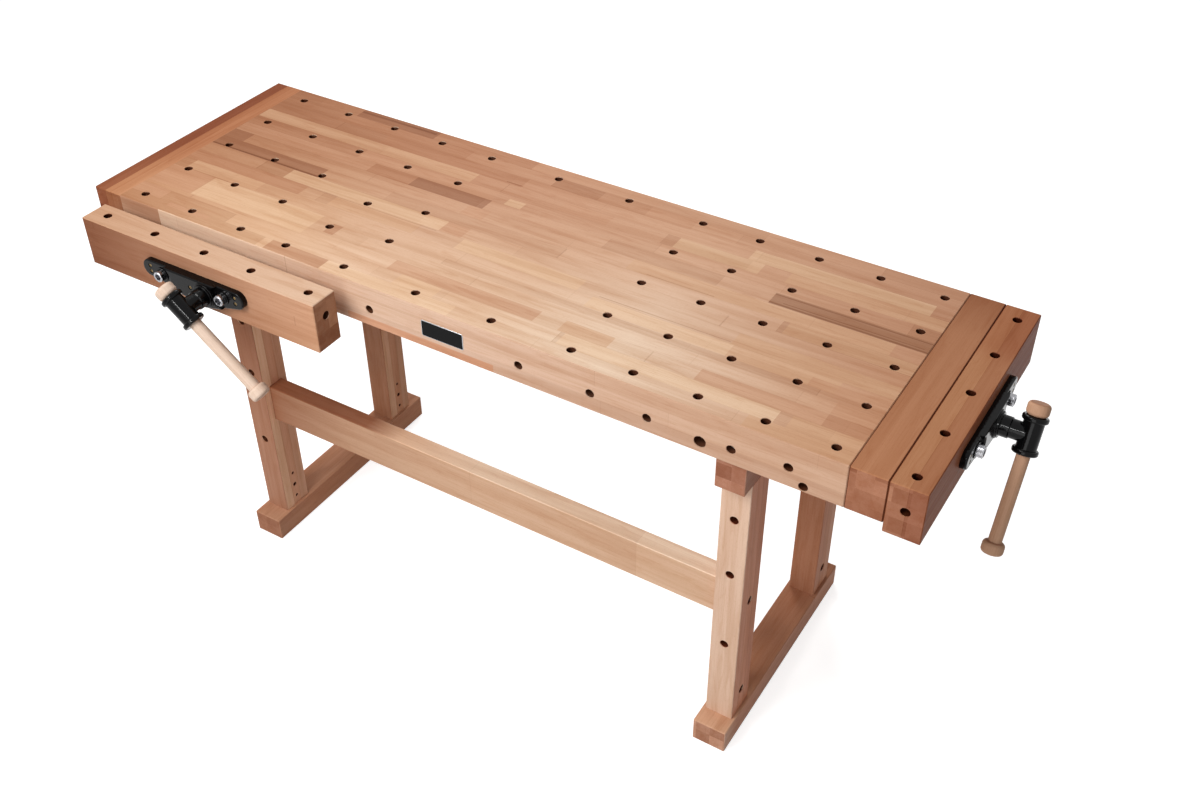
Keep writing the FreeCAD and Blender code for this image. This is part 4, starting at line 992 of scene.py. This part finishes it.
def area_light(name, place, aim, size, power, colour=(1, 1, 1)):
    """A square lamp, in metres and watts, that shines from a place at an aim."""
    lamp = bpy.data.lights.new(name, "AREA")
    lamp.shape = "SQUARE"
    lamp.size = size
    lamp.energy = power
    lamp.color = colour
    holder = bpy.data.objects.new(name, lamp)
    holder.location = place
    holder.rotation_mode = "QUATERNION"
    holder.rotation_quaternion = (Vector(aim) - Vector(place)).to_track_quat("-Z", "Y")
    bpy.context.collection.objects.link(holder)


def seen_rays(nodes, links, otherwise=None):
    """1 for rays that reach the background from the camera, in gloss or through glass.

    Other rays get a given number, or 0 where none is given.
    """
    path = nodes.new("ShaderNodeLightPath")
    strength = otherwise or path.outputs["Is Camera Ray"]
    for ray in ("Is Camera Ray", "Is Glossy Ray", "Is Transmission Ray"):
        brighter = nodes.new("ShaderNodeMath")
        brighter.operation = "MAXIMUM"
        links.new(path.outputs[ray], brighter.inputs[0])
        links.new(strength, brighter.inputs[1])
        strength = brighter.outputs[0]
    return strength


def studio_floor():
    """A pale floor that reads white to the camera and keeps a soft shadow."""
    half, tone, lift_strength = 14.0, 0.60, 0.74
    mesh = bpy.data.meshes.new("floor")
    corners = [(-half, -half, 0), (half, -half, 0), (half, half, 0), (-half, half, 0)]
    mesh.from_pydata(corners, [], [(0, 1, 2, 3)])
    floor = bpy.data.objects.new("floor", mesh)
    bpy.context.collection.objects.link(floor)
    material = bpy.data.materials.new("floor_white")
    material.use_nodes = True
    nodes, links = material.node_tree.nodes, material.node_tree.links
    shader = nodes["Principled BSDF"]
    shader.inputs["Base Color"].default_value = (tone, tone, tone, 1)
    shader.inputs["Roughness"].default_value = 0.9
    shader.inputs["Specular IOR Level"].default_value = 0.0
    lift = nodes.new("ShaderNodeMath")
    lift.operation = "MULTIPLY"
    lift.inputs[1].default_value = lift_strength
    links.new(seen_rays(nodes, links), lift.inputs[0])
    shader.inputs["Emission Color"].default_value = (1, 1, 1, 1)
    links.new(lift.outputs[0], shader.inputs["Emission Strength"])
    mesh.materials.append(material)


def studio_world():
    """Soft light from all round, weaker from the right, behind a white background."""
    world = bpy.data.worlds.new("studio")
    bpy.context.scene.world = world
    world.use_nodes = True
    nodes, links = world.node_tree.nodes, world.node_tree.links
    background = nodes["Background"]
    background.inputs["Color"].default_value = (1, 1, 1, 1)
    towards = nodes.new("ShaderNodeSeparateXYZ")
    links.new(nodes.new("ShaderNodeTexCoord").outputs["Generated"], towards.inputs["Vector"])
    soft = nodes.new("ShaderNodeMapRange")
    set_range(soft, -0.6, 0.8, 0.34, 0.22)
    links.new(towards.outputs["X"], soft.inputs["Value"])
    links.new(seen_rays(nodes, links, soft.outputs["Result"]), background.inputs["Strength"])


def studio_camera():
    """The camera, placed by fitting the bench's edges and holes."""
    azimuth, elevation, roll = math.radians(31.498), math.radians(38.814), -0.003
    level = Vector((math.sin(azimuth), -math.cos(azimuth), 0))
    back = level * math.cos(elevation) + Z * math.sin(elevation)
    right = (-back).cross(Z).normalized()
    up = right.cross(-back)
    tilted_right = right * math.cos(roll) + up * math.sin(roll)
    tilted_up = up * math.cos(roll) - right * math.sin(roll)
    lens = bpy.data.cameras.new("camera")
    lens.sensor_width = 36.0
    lens.lens = 40.894
    camera = bpy.data.objects.new("camera", lens)
    turn = Matrix((tilted_right, tilted_up, back)).transposed().to_4x4()
    camera.matrix_world = Matrix.Translation((1.31544, -1.87207, 2.42115)) @ turn
    bpy.context.collection.objects.link(camera)
    bpy.context.scene.camera = camera


studio_floor()
studio_world()
studio_camera()
area_light("key", (-0.9, -2.6, 3.5), (0.05, 0, 0.8), 1.6, 103, (1.0, 0.99, 0.97))
area_light("glint", (0.42, -3.36, 3.24), (-0.2, -0.1, 0.8), 0.35, 16)
area_light("fill", (1.0, -4.5, 1.7), (0, 0, 0.5), 2.4, 46)
area_light("sheen", (-1.5, 2.6, 3.5), (0.2, -0.1, 0.9), 1.5, 66)
bpy.context.scene.view_settings.view_transform = "Standard"
